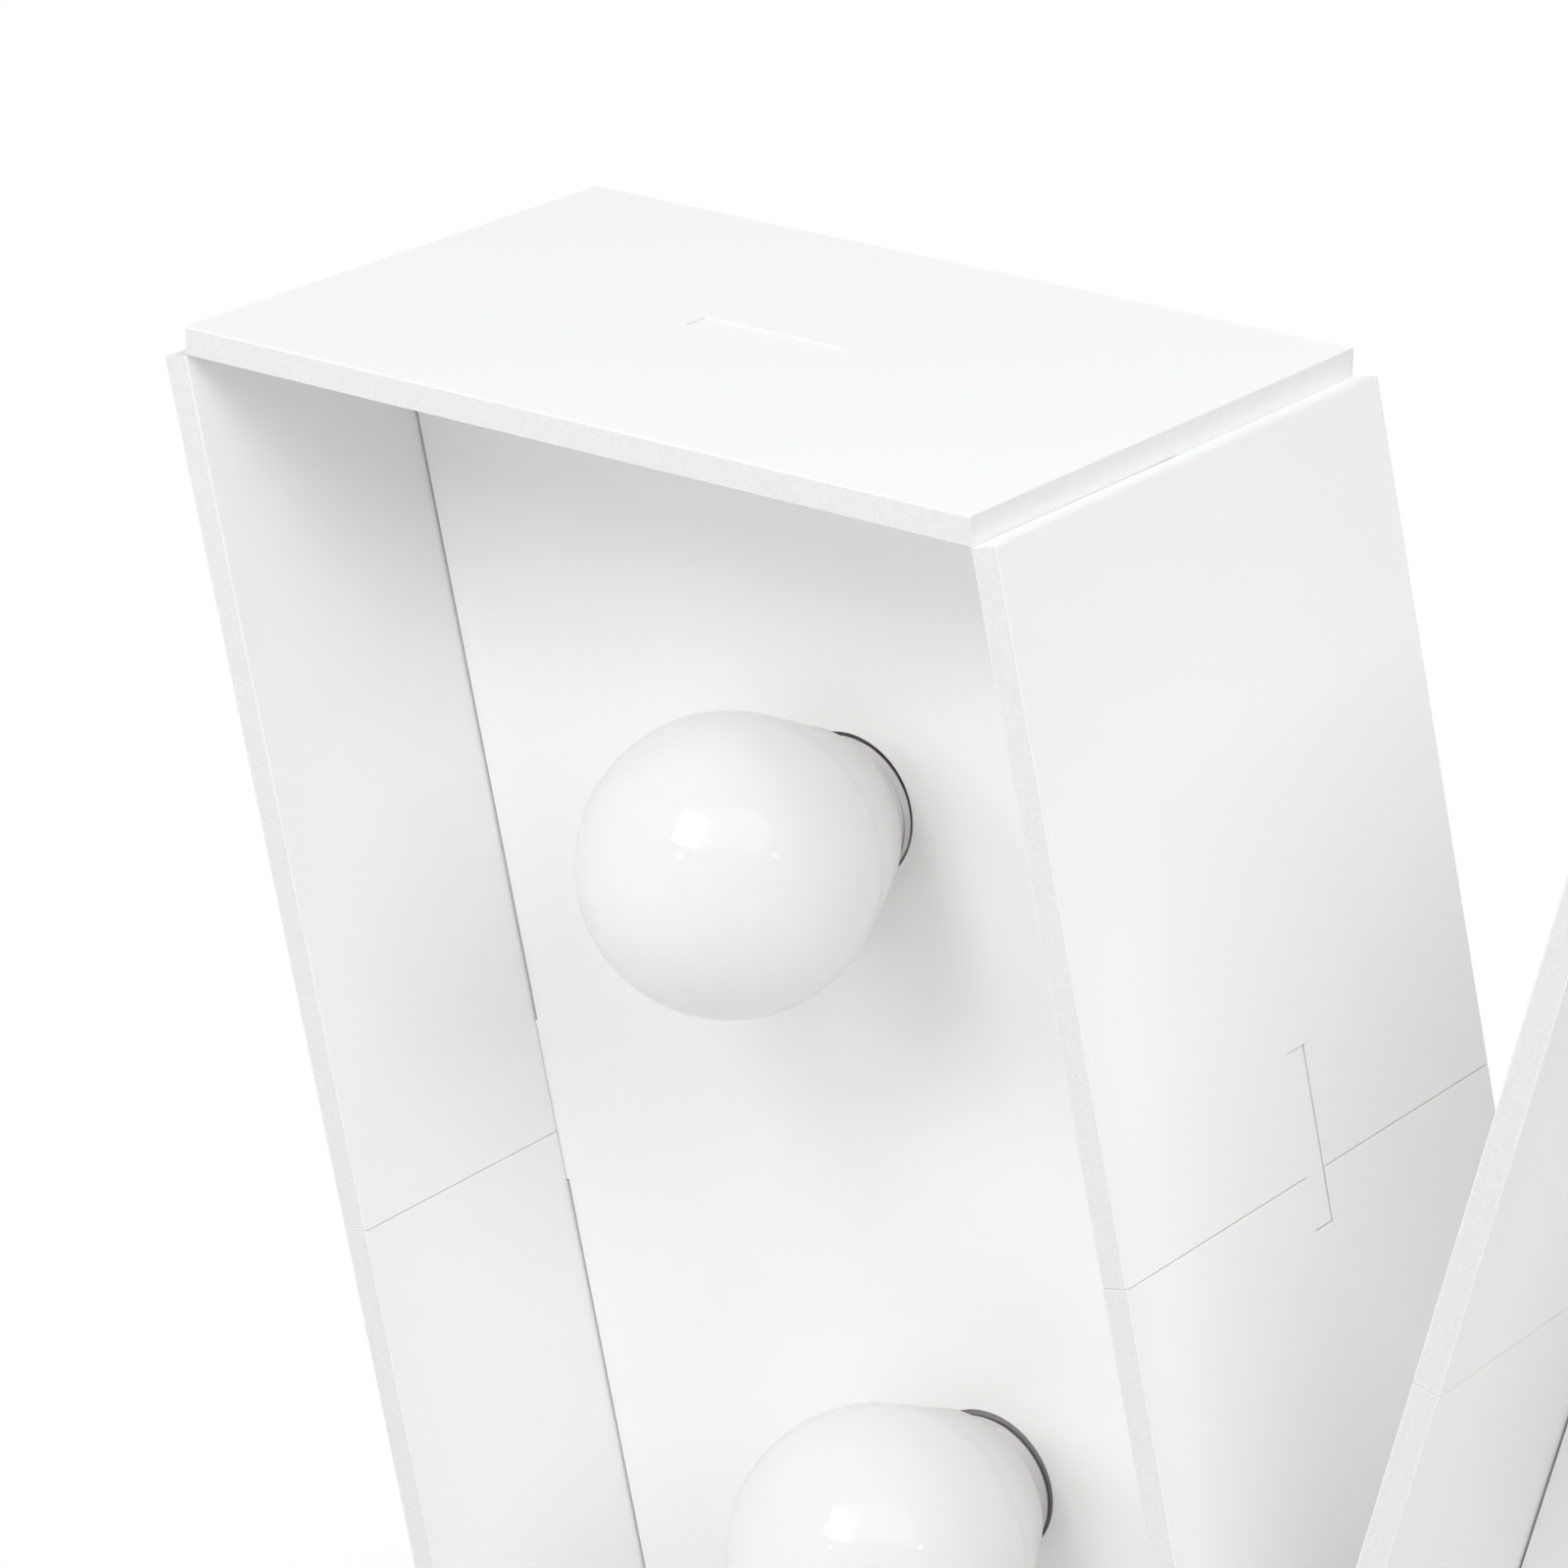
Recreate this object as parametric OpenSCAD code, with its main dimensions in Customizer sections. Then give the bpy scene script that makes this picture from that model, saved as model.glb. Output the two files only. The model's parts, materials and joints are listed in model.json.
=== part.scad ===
// Light-up letter V: a foam-board channel letter with screw-in globe bulbs.
// Millimetres, +Z up. The letter faces -Y and stands on its bottom panel.
// The origin is the middle of the underside of that panel.

/* [Letter] */
// Height of the bulb board, without the top and bottom panels
board_h = 600; // [560:1:640]
// Width of each arm of the bulb board, measured level
arm_w = 158.6; // [150:0.1:175]
// Width of the notch between the arms, at the top of the bulb board
notch_w = 116.6; // [105:0.1:130]
// Lean of the arms from upright, in degrees
lean = 13.5; // [12:0.1:14.5]
// Depth of the walls, from front edge to back edge
wall_depth = 110; // [100:1:140]
// Thickness of the foam board
sheet_t = 5; // [4.5:0.1:6]

/* [Joinery] */
// Distance of the seam in each inner wall from the top of the wall
inner_seam = 119.3; // [90:0.1:150]
// Open seam between neighbouring wall panels
seam_gap = 0.25; // [0.1:0.05:0.5]
// Length of each tab on the edge of the bulb board
tab_len = 30; // [24:0.5:40]
// How far a tab reaches above the wall seam that it bridges
tab_above = 20.9; // [10:0.1:23]
// How far the end of a tab lies below the face of its panel
tab_recess = 0.2; // [0.1:0.05:1]
// Clearance around a tab in its slot
slot_clear = 0.15; // [0.05:0.05:0.4]
// Gap between the slanted edges of the bulb board and the walls
edge_gap = 0.3; // [0.1:0.05:0.5]

/* [Bulbs] */
// Drop of the top bulbs below the top edge of the bulb board
top_bulb_drop = 73; // [60:0.5:90]
// Offset of the top bulbs from the middle of their arm, towards the centreline
top_bulb_inset = 1.9; // [0:0.1:4]
// Rise of the bottom bulb above the bottom edge of the bulb board
bottom_bulb_rise = 60; // [50:0.5:80]
// How far the middle of each arm's row of bulbs bows towards the centreline
bulb_bow = 3; // [0:0.1:4]
// Diameter of the bulb holes in the board
bulb_hole_d = 26.9; // [26.8:0.1:28.5]
// Diameter of a bulb's globe
globe_d = 50.8; // [46:0.1:56]
// Wall of the globe
globe_wall = 1.2; // [0.8:0.1:2]
// Distance of the globe's centre from the front of the bulb board
globe_reach = 32.8; // [30.5:0.1:34]
// Diameter of the skirt at its rim
rim_d = 32.8; // [30:0.1:36]
// Gap from the front of the bulb board to the skirt's rim
rim_gap = 7.4; // [6:0.05:8.5]
// Thickness of the light-source plate that closes the skirt
plate_t = 2; // [1:0.1:4]

/* [Screw caps] */
// Outer diameter of the screw cap's thread
cap_d = 26.1; // [25.5:0.05:26.6]
// Pitch of the screw thread
thread_pitch = 3.63; // [3.2:0.01:3.9]
// Depth of the screw thread
thread_depth = 0.95; // [0.5:0.05:1.3]
// Length of the smooth collar between the skirt's rim and the thread
collar_len = 5.15; // [4:0.05:5.5]
// Thickness of the cap's metal at the root of the thread
cap_wall = 0.5; // [0.3:0.05:0.8]
// Length of the cap inside the skirt
cap_seat = 3; // [2:0.1:6]
// Running clearance of the cap in the skirt
cap_clear = 0.08; // [0.05:0.01:0.1]
// Height of the insulator cone below the thread
insulator_h = 4; // [3:0.1:4.5]
// Diameter of the cap's centre contact
tip_d = 9.2; // [7:0.1:11]
// Height of the cap's centre contact
tip_h = 2.5; // [1.5:0.1:3]

/* [Lamp holders] */
// Diameter of the holder's barrel
barrel_d = 36; // [34:0.5:38]
// Length of the holder behind the board
holder_len = 30; // [28:0.5:36]
// Thickness of the holder's flange, and of the control box's floor
flange_t = 3.5; // [3:0.1:4.5]
// Clearance between the cap's thread and the holder's threaded shell
thread_clear = 0.5; // [0.35:0.05:0.8]
// Wall of the threaded shell
shell_wall = 0.6; // [0.4:0.05:0.9]
// Gap between the cap's centre contact and the holder's centre contact
contact_gap = 0.4; // [0.3:0.05:0.8]
// Diameter of the holder's centre contact
contact_d = 6.4; // [5:0.1:8]

/* [Screws] */
// Diameter of a screw's head
screw_head_d = 4.6; // [4:0.1:5.2]
// Height of a screw's head
screw_head_h = 1.7; // [1.2:0.1:2.2]
// Diameter of a screw's shank
screw_d = 2.3; // [2:0.1:2.6]
// Length of a screw under its head
screw_len = 7; // [6:0.1:7.6]

/* [Wiring] */
// Diameter of an insulated wire
wire_d = 2.4; // [1.8:0.1:2.8]
// Distance between the two wires of a pair
wire_spacing = 7; // [6:0.1:8]

/* [Control box] */
// Width of the control box
box_w = 54; // [48:0.5:60]
// Height of the control box
box_h = 48; // [44:0.5:56]
// Depth of the control box, without its lid
box_depth = 26; // [24:0.5:34]
// Wall of the control box
box_wall = 2.2; // [1.8:0.1:3]
// Thickness of the lid
lid_t = 2.5; // [2:0.1:3.5]
// Bore of the cord gland
gland_bore = 6.4; // [5:0.1:8]

/* [Switch] */
// Width of the switch body in the lid
switch_w = 13; // [12:0.1:16]
// Height of the switch body in the lid
switch_h = 19.4; // [18:0.1:24]
// Depth of the switch body behind the lid
switch_depth = 14; // [9:0.5:16]
// Tilt of the rocker to either side, in degrees
rocker_tilt = 10; // [6:0.5:12]
// Diameter of the rocker's pivot pins
pivot_d = 2; // [1.6:0.1:2.4]

/* [Hidden] */
$fn = 64;
BULBS = 9;
ARM_BULBS = 4;
OUTER_PANELS = 4;
INNER_PANELS = 2;
SIDES = ["left", "right"];
// Pairs of lamp holders that a pair of wires joins
JUMPERS = [[1, 2], [2, 3], [3, 4], [4, 5], [4, 6], [6, 7], [7, 8], [8, 9]];
// Lamp holder that the control box feeds
FEED = 3;

// How far a cut reaches past the face that it opens
cut = 1;
// How far a tab or boss is rooted in the piece that it grows from
root = 1;
// Clearance of pieces that are pressed or laid into each other by hand
hand_fit = 0.1;
// Clearance of a screw in its hole
screw_clear = 0.05;
// Room left under the end of a screw
screw_room = 0.3;

foam_white = [0.95, 0.95, 0.945];
opal_white = [0.97, 0.97, 0.965];
skirt_white = [0.94, 0.94, 0.935];
nickel = [0.75, 0.74, 0.72];
holder_white = [0.88, 0.87, 0.84];
brass = [0.8, 0.65, 0.35];
zinc = [0.7, 0.71, 0.73];
wire_grey = [0.8, 0.8, 0.78];
box_white = [0.9, 0.9, 0.89];
switch_black = [0.09, 0.09, 0.1];

// Letter outline
base_z = sheet_t;
top_z = base_z + board_h;
board_front = -sheet_t / 2;
board_back = sheet_t / 2;
top_half = notch_w / 2 + arm_w;
bottom_half = top_half - board_h * tan(lean);
arm_mid = notch_w / 2 + arm_w / 2;
outer_panel_len = board_h / cos(lean) / OUTER_PANELS;
// The inner walls end where their lower corners would meet on the centreline,
// and the notch has a flat foot between their ends
inner_len = (notch_w / 2 - sheet_t * cos(lean) - seam_gap) / sin(lean);
notch_foot_x = notch_w / 2 - inner_len * sin(lean);
notch_foot_z = top_z - inner_len * cos(lean);
tab_reach = sheet_t - tab_recess;
// Level share of the gap along a slanted edge
edge_inset = edge_gap / cos(lean);

// Bulb places: numbered down the left arm and up the right one
top_bulb_x = arm_mid - top_bulb_drop * tan(lean) - top_bulb_inset;
bulb_step = (board_h - top_bulb_drop - bottom_bulb_rise) / ARM_BULBS;
function bulb_row(n) = n <= ARM_BULBS + 1 ? n - 1 : BULBS - n;
function bulb_side(n) = sign(n - ARM_BULBS - 1);
function bulb_x(n) = bulb_side(n) * (1 - bulb_row(n) / ARM_BULBS)
    * (top_bulb_x - 4 * bulb_bow * bulb_row(n) / ARM_BULBS);
function bulb_z(n) = top_z - top_bulb_drop - bulb_row(n) * bulb_step;
function bulb_at(n) = [bulb_x(n), bulb_z(n)];

// Bulb profile: the skirt is the cone from the rim that touches the globe all round
globe_r = globe_d / 2;
rim_r = rim_d / 2;
cap_r = cap_d / 2;
rim_to_centre = globe_reach - rim_gap;
touch_angle = atan2(rim_r, rim_to_centre) + acos(globe_r / norm([rim_r, rim_to_centre]));
touch_r = globe_r * sin(touch_angle);
touch_z = globe_reach - globe_r * cos(touch_angle);

// Screw cap
THREAD_TURNS = 4;
// One turn of the thread, as shares of its depth and pitch: root, root, crest, crest
THREAD_SHAPE = [[1, 0.3], [1, 0.5], [0, 0.8], [0, 1]];
collar_end = rim_gap - collar_len;
thread_end = collar_end - THREAD_TURNS * thread_pitch;
insulator_end = thread_end - insulator_h;
tip_end = insulator_end - tip_h;
tip_r = tip_d / 2;
tip_bevel = 0.8;

// Lamp holder
barrel_r = barrel_d / 2;
head_margin = 0.3;
flange_r = barrel_r + screw_head_d + 2 * head_margin;
screw_ring_r = barrel_r + head_margin + screw_head_d / 2;
shell_r = cap_r + thread_clear + shell_wall;
shell_bore_r = shell_r + hand_fit;
shell_gap = 1;
shell_room = 0.7;
shell_front = -sheet_t - shell_gap;
shell_back = insulator_end - shell_room;
shell_len = shell_front - shell_back;
pocket_room = 2.2;
pocket_r = tip_r + pocket_room;
contact_top = tip_end - contact_gap;
pocket_depth = 4;
pocket_end = contact_top - pocket_depth;
holder_end = -sheet_t - holder_len;
nose_len = 4;
nose_step = 3;
nose_r = barrel_r - nose_step;
screw_angle = 45;

// Wires lie on the back of the bulb board, in grooves under the flanges
wire_rest = 0.05;
wire_y = board_back + wire_rest + wire_d / 2;
groove_w = wire_d + 2 * wire_rest + 2 * hand_fit;
groove_depth = wire_d + 2 * wire_rest + hand_fit;
groove_wall = 1.4;
groove_in = shell_bore_r + groove_wall;
wire_in = groove_in + hand_fit;
feed_in = 3;
function bearing(p, q) = atan2(q[1] - p[1], q[0] - p[0]);
function partners(n) = [for (j = JUMPERS) if (j[0] == n || j[1] == n) j[0] == n ? j[1] : j[0]];
function wire_bearings(n) = concat(
    [for (m = partners(n)) bearing(bulb_at(n), bulb_at(m))],
    n == FEED ? [bearing(bulb_at(n), box_at)] : []);

// Control box, level with the lamp holder that it feeds
box_at = [0, bulb_z(FEED)];
boss_r = 3.4;
boss_inset = box_wall + boss_r - root;
floor_screw_x = box_w / 4;
floor_screw_y = -box_h / 4;

// Rocker switch
bezel_lip = 1.4;
bezel_t = 2;
switch_wall = 1.2;
rocker_clear = 0.3;
pivot_clear = 0.05;
pivot_stub = 0.7;
pivot_z = -1;
rocker_w = switch_w - 2 * switch_wall - 2 * rocker_clear;
rocker_proud = 0.4;
rocker_face = bezel_t - pivot_z + rocker_proud;
opening_h = switch_h - 2 * switch_wall;
rocker_half = (opening_h / 2 - rocker_clear - rocker_face * sin(rocker_tilt)) * cos(rocker_tilt);
rocker_end = rocker_face + rocker_half * tan(rocker_tilt);
rocker_side = -0.5;
pivot_wall = 1;
rocker_belly = pivot_d / 2 + pivot_wall;
cavity_depth = rocker_belly + rocker_half * sin(rocker_tilt) + 2 * rocker_clear;

// Cord gland, halfway between the switch's bezel and the edge of the lid
gland_neck_wall = 2.2;
gland_shoulder = 2.1;
gland_neck_r = gland_bore / 2 + gland_neck_wall;
gland_flange_r = gland_neck_r + gland_shoulder;
gland_nose = 6;
gland_nut = 3;
gland_x = (switch_w / 2 + bezel_lip + box_w / 2) / 2;

// Stands an outline of X and Z upright as a sheet of the given depth, centred on Y = 0
module upright(depth) {
    rotate([90, 0, 0]) linear_extrude(depth, center = true) children();
}

// Draws the children as they are, or mirrored to the right side
module on_side(side) {
    if (side == "left") children();
    else mirror([1, 0, 0]) children();
}

// Frame of a left wall that starts at x on the board's top edge: -Y runs down the wall
module down_wall(x) {
    translate([x, top_z]) rotate(lean) children();
}

// Strip of wall between two distances from its top, and between two offsets to its right
module strip(from, to, left, right) {
    translate([left, -to]) square([right - left, to - from]);
}

// Strip that a tab takes up across a seam, grown by a clearance
module tab_strip(seam, left, right, grow = 0) {
    start = seam - tab_above;
    strip(start - grow, start + tab_len + grow, left, right);
}

module outer_seam_tabs() {
    for (i = [1:OUTER_PANELS - 1])
        down_wall(-top_half) tab_strip(i * outer_panel_len, -tab_reach, root);
}

module left_tabs() {
    outer_seam_tabs();
    down_wall(-notch_w / 2) tab_strip(inner_seam, -root, tab_reach);
    translate([-arm_mid - tab_len / 2, top_z - root]) square([tab_len, root + tab_reach]);
}

module board_sheet() {
    polygon([
        [edge_inset - top_half, top_z], [-notch_w / 2 - edge_inset, top_z],
        [-notch_foot_x - edge_inset, notch_foot_z], [notch_foot_x + edge_inset, notch_foot_z],
        [notch_w / 2 + edge_inset, top_z], [top_half - edge_inset, top_z],
        [bottom_half - edge_inset, base_z], [edge_inset - bottom_half, base_z]]);
}

module board_tabs() {
    left_tabs();
    mirror([1, 0]) left_tabs();
    translate([-tab_len / 2, base_z - tab_reach]) square([tab_len, root + tab_reach]);
}

// Frame of a bulb: its axis is +Z, from the front of the bulb board towards the viewer
module at_bulb(n) {
    translate([bulb_x(n), board_front, bulb_z(n)]) rotate([90, 0, 0]) children();
}

// Frame of the control box: +Z points backwards from the back of the bulb board
module at_box() {
    translate([box_at[0], board_back, box_at[1]]) rotate([-90, 0, 0]) children();
}

// The two screws of a lamp holder, on the back of its flange
module at_holder_screws(n) {
    turn = bulb_side(n) > 0 ? 180 - screw_angle : screw_angle;
    for (a = [turn, turn + 180])
        rotate(a) translate([screw_ring_r, 0, -sheet_t - flange_t]) rotate([180, 0, 0]) children();
}

module at_floor_screws() {
    for (s = [-1, 1])
        translate([s * floor_screw_x, floor_screw_y, flange_t]) children();
}

module at_lid_screws() {
    for (x = [-1, 1], y = [-1, 1])
        translate([x * (box_w / 2 - boss_inset), y * (box_h / 2 - boss_inset), box_depth + lid_t])
            children();
}

module at_gland() {
    translate([gland_x, 0, box_depth + lid_t]) children();
}

// Hole for a screw whose head sits at Z = 0
module screw_hole() {
    depth = screw_len + screw_room;
    translate([0, 0, -depth]) cylinder(d = screw_d + 2 * screw_clear, h = depth + cut);
}

module bulb_board() {
    color(foam_white)
    difference() {
        union() {
            upright(sheet_t) board_sheet();
            upright(sheet_t) board_tabs();
        }
        for (n = [1:BULBS]) at_bulb(n) {
            translate([0, 0, -sheet_t - cut]) cylinder(d = bulb_hole_d, h = sheet_t + 2 * cut);
            at_holder_screws(n) screw_hole();
        }
        at_box() at_floor_screws() screw_hole();
    }
}

module top_panel(side) {
    color(foam_white)
    on_side(side) difference() {
        upright(wall_depth) translate([-top_half, top_z]) square([arm_w, sheet_t]);
        upright(sheet_t + 2 * slot_clear)
            translate([-arm_mid - tab_len / 2 - slot_clear, top_z - cut])
                square([tab_len + 2 * slot_clear, sheet_t + 2 * cut]);
    }
}

module bottom_panel() {
    color(foam_white)
    difference() {
        upright(wall_depth) translate([-bottom_half, 0]) square([2 * bottom_half, sheet_t]);
        upright(sheet_t + 2 * slot_clear)
            translate([-tab_len / 2 - slot_clear, -cut])
                square([tab_len + 2 * slot_clear, sheet_t + 2 * cut]);
    }
}

module outer_wall(side, i) {
    color(foam_white)
    on_side(side) difference() {
        upright(wall_depth) down_wall(-top_half)
            strip((i - 1) * outer_panel_len, i * outer_panel_len - seam_gap, -sheet_t, 0);
        upright(sheet_t + 2 * slot_clear)
            for (seam = [1:OUTER_PANELS - 1])
                down_wall(-top_half)
                    tab_strip(seam * outer_panel_len, -sheet_t - cut, cut, slot_clear);
    }
}

module inner_wall(side, i) {
    color(foam_white)
    on_side(side) difference() {
        upright(wall_depth) down_wall(-notch_w / 2)
            strip(i == 1 ? 0 : inner_seam, i == 1 ? inner_seam - seam_gap : inner_len, 0, sheet_t);
        upright(sheet_t + 2 * slot_clear) down_wall(-notch_w / 2)
            tab_strip(inner_seam, -cut, sheet_t + cut, slot_clear);
    }
}

module globe(n) {
    color(opal_white)
    at_bulb(n) difference() {
        translate([0, 0, globe_reach]) sphere(r = globe_r);
        translate([0, 0, globe_reach]) sphere(r = globe_r - globe_wall);
        translate([-globe_r - cut, -globe_r - cut, touch_z - globe_d])
            cube([globe_d + 2 * cut, globe_d + 2 * cut, globe_d]);
    }
}

module bulb_skirt(n) {
    color(skirt_white)
    at_bulb(n) difference() {
        translate([0, 0, rim_gap]) cylinder(r1 = rim_r, r2 = touch_r, h = touch_z - rim_gap);
        translate([0, 0, rim_gap - cut])
            cylinder(r = cap_r + cap_clear, h = touch_z - plate_t - rim_gap + cut);
    }
}

module screw_cap(n) {
    thread = [for (k = [0:THREAD_TURNS - 1], p = THREAD_SHAPE)
        [cap_r - thread_depth * p[0], collar_end - thread_pitch * (k + p[1])]];
    hollow_r = cap_r - thread_depth - cap_wall;
    color(nickel)
    at_bulb(n) rotate_extrude() polygon(concat(
        [[hollow_r, rim_gap + cap_seat], [cap_r, rim_gap + cap_seat], [cap_r, collar_end]],
        thread,
        [[tip_r, insulator_end], [tip_r, tip_end + tip_bevel], [tip_r - tip_bevel, tip_end], [0, tip_end]],
        [[0, thread_end], [hollow_r, thread_end]]));
}

module lamp_holder(n) {
    color(holder_white)
    at_bulb(n) difference() {
        union() {
            translate([0, 0, -sheet_t - flange_t]) cylinder(r = flange_r, h = flange_t);
            translate([0, 0, holder_end + nose_len])
                cylinder(r = barrel_r, h = holder_len - nose_len);
            translate([0, 0, holder_end]) cylinder(r = nose_r, h = nose_len + root);
        }
        translate([0, 0, shell_back]) cylinder(r = shell_bore_r, h = shell_len + shell_gap + cut);
        translate([0, 0, pocket_end]) cylinder(r = pocket_r, h = shell_back - pocket_end + cut);
        for (a = wire_bearings(n), s = [-1, 1])
            rotate(a) translate([groove_in, s * wire_spacing / 2 - groove_w / 2, -sheet_t - groove_depth])
                cube([flange_r, groove_w, groove_depth + cut]);
        at_holder_screws(n) screw_hole();
    }
}

// Threaded shell and centre contact of every lamp holder
module holder_contacts() {
    color(brass)
    for (n = [1:BULBS]) at_bulb(n) {
        translate([0, 0, shell_back]) difference() {
            cylinder(r = shell_r, h = shell_len);
            translate([0, 0, -cut]) cylinder(r = shell_r - shell_wall, h = shell_len + 2 * cut);
        }
        translate([0, 0, pocket_end]) cylinder(d = contact_d, h = contact_top - pocket_end);
    }
}

// Pan-head screw with a cross recess: its head sits at Z = 0 and its shank points down
module screw() {
    recess_w = 0.7;
    recess_depth = 0.8;
    recess_rim = 0.9;
    head_bevel = 0.6;
    recess_len = screw_head_d - 2 * recess_rim;
    difference() {
        union() {
            cylinder(d1 = screw_head_d, d2 = screw_head_d - 2 * head_bevel, h = screw_head_h);
            translate([0, 0, -screw_len]) cylinder(d = screw_d, h = screw_len + root / 2);
        }
        for (a = [0, 90])
            rotate(a) translate([-recess_len / 2, -recess_w / 2, screw_head_h - recess_depth])
                cube([recess_len, recess_w, recess_depth + cut]);
    }
}

module screws() {
    color(zinc) {
        for (n = [1:BULBS]) at_bulb(n) at_holder_screws(n) screw();
        at_box() at_floor_screws() screw();
        at_box() at_lid_screws() screw();
    }
}

// A pair of wires between two points of X and Z, less a length at each end
module wire_pair(p, q, start, stop) {
    for (s = [-1, 1])
        translate([p[0], wire_y, p[1]]) rotate([0, -bearing(p, q), 0])
            translate([start, 0, s * wire_spacing / 2]) rotate([0, 90, 0])
                cylinder(d = wire_d, h = norm(q - p) - start - stop);
}

module wiring() {
    color(wire_grey) {
        for (j = JUMPERS) wire_pair(bulb_at(j[0]), bulb_at(j[1]), wire_in, wire_in);
        wire_pair(bulb_at(FEED), box_at, wire_in, box_w / 2 - feed_in);
    }
}

module control_box() {
    color(box_white)
    at_box() difference() {
        union() {
            difference() {
                translate([-box_w / 2, -box_h / 2, 0]) cube([box_w, box_h, box_depth]);
                translate([box_wall - box_w / 2, box_wall - box_h / 2, flange_t])
                    cube([box_w - 2 * box_wall, box_h - 2 * box_wall, box_depth]);
            }
            at_lid_screws() translate([0, 0, flange_t - root - box_depth - lid_t])
                cylinder(r = boss_r, h = box_depth - flange_t + root);
        }
        at_lid_screws() screw_hole();
        at_floor_screws() screw_hole();
        for (s = [-1, 1])
            translate([-box_w / 2 - cut, s * wire_spacing / 2 - groove_w / 2, -cut])
                cube([feed_in + hand_fit + cut, groove_w, groove_depth + cut]);
    }
}

module control_lid() {
    color(box_white)
    at_box() difference() {
        translate([-box_w / 2, -box_h / 2, box_depth]) cube([box_w, box_h, lid_t]);
        at_lid_screws() screw_hole();
        at_gland() translate([0, 0, -lid_t - cut])
            cylinder(r = gland_neck_r + hand_fit, h = lid_t + 2 * cut);
        translate([-switch_w / 2 - hand_fit, -switch_h / 2 - hand_fit, box_depth - cut])
            cube([switch_w + 2 * hand_fit, switch_h + 2 * hand_fit, lid_t + 2 * cut]);
    }
}

module cord_gland() {
    color(switch_black)
    at_box() at_gland() difference() {
        union() {
            cylinder(r = gland_flange_r, h = gland_nose);
            translate([0, 0, -lid_t]) cylinder(r = gland_neck_r, h = lid_t + root);
            translate([0, 0, -lid_t - gland_nut]) cylinder(r = gland_flange_r, h = gland_nut);
        }
        translate([0, 0, -lid_t - gland_nut - cut])
            cylinder(d = gland_bore, h = gland_nose + lid_t + gland_nut + 2 * cut);
    }
}

// Frame of the switch: on the outside of the lid, with +Z pointing backwards
module at_switch() {
    at_box() translate([0, 0, box_depth + lid_t]) children();
}

module switch_body() {
    color(switch_black)
    at_switch() difference() {
        union() {
            translate([-switch_w / 2 - bezel_lip, -switch_h / 2 - bezel_lip, 0])
                cube([switch_w + 2 * bezel_lip, switch_h + 2 * bezel_lip, bezel_t]);
            translate([-switch_w / 2, -switch_h / 2, -switch_depth])
                cube([switch_w, switch_h, switch_depth + root]);
        }
        translate([-rocker_w / 2 - rocker_clear, -opening_h / 2, pivot_z - cavity_depth])
            cube([rocker_w + 2 * rocker_clear, opening_h, cavity_depth - pivot_z + bezel_t + cut]);
        translate([-rocker_w / 2 - rocker_clear - pivot_stub, 0, pivot_z]) rotate([0, 90, 0])
            cylinder(d = pivot_d + 2 * pivot_clear, h = rocker_w + 2 * rocker_clear + 2 * pivot_stub);
    }
}

module rocker() {
    color(switch_black)
    at_switch() translate([0, 0, pivot_z]) rotate([-rocker_tilt, 0, 0]) {
        rotate([90, 0, 90]) linear_extrude(rocker_w, center = true) polygon([
            [-rocker_half, rocker_end], [-rocker_half, rocker_side], [-rocker_belly, -rocker_belly],
            [rocker_belly, -rocker_belly], [rocker_half, rocker_side], [rocker_half, rocker_end],
            [0, rocker_face]]);
        rotate([0, 90, 0])
            cylinder(d = pivot_d, h = rocker_w + 2 * rocker_clear + pivot_stub, center = true);
    }
}

bulb_board();
bottom_panel();
for (s = SIDES) {
    top_panel(s);
    for (i = [1:OUTER_PANELS])
        outer_wall(s, i);
    for (i = [1:INNER_PANELS])
        inner_wall(s, i);
}
for (n = [1:BULBS]) {
    globe(n);
    bulb_skirt(n);
    screw_cap(n);
    lamp_holder(n);
}
holder_contacts();
screws();
wiring();
control_box();
control_lid();
cord_gland();
switch_body();
rocker();
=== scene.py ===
"""Looks of a free-standing light-up letter: foam-board walls, opal globes and the fittings behind them.

Laid out as an add-on and run as a script. Metres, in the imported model's frame: +Z up, front towards -Y.
"""
import json
import math
from collections import namedtuple

import bmesh
import bpy
import numpy as np
from bpy.props import FloatProperty, FloatVectorProperty, IntProperty, PointerProperty
from mathutils import Matrix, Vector
from mathutils.geometry import tessellate_polygon


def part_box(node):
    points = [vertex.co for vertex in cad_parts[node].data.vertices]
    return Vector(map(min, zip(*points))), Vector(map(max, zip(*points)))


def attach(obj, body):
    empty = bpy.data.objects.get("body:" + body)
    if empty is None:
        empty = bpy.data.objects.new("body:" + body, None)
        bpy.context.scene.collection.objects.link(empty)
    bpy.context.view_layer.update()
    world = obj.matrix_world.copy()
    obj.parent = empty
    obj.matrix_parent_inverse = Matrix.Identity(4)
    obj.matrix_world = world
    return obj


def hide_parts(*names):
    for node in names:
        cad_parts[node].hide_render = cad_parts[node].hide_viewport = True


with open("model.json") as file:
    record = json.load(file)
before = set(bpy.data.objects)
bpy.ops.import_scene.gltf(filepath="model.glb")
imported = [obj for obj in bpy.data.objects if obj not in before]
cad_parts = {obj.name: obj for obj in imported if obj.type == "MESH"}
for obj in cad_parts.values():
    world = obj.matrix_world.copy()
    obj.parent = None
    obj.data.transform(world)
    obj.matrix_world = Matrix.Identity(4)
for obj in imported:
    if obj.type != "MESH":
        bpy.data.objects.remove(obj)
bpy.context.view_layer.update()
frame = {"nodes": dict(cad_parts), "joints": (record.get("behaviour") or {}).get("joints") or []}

bl_info = {
    "name": "Light-up letter",
    "version": (1, 0, 0),
    "blender": (4, 5, 0),
    "location": "View3D > Sidebar > Letter",
    "description": "Dresses the packed model of a foam-board letter with globe bulbs",
    "category": "Add Mesh",
}

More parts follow.
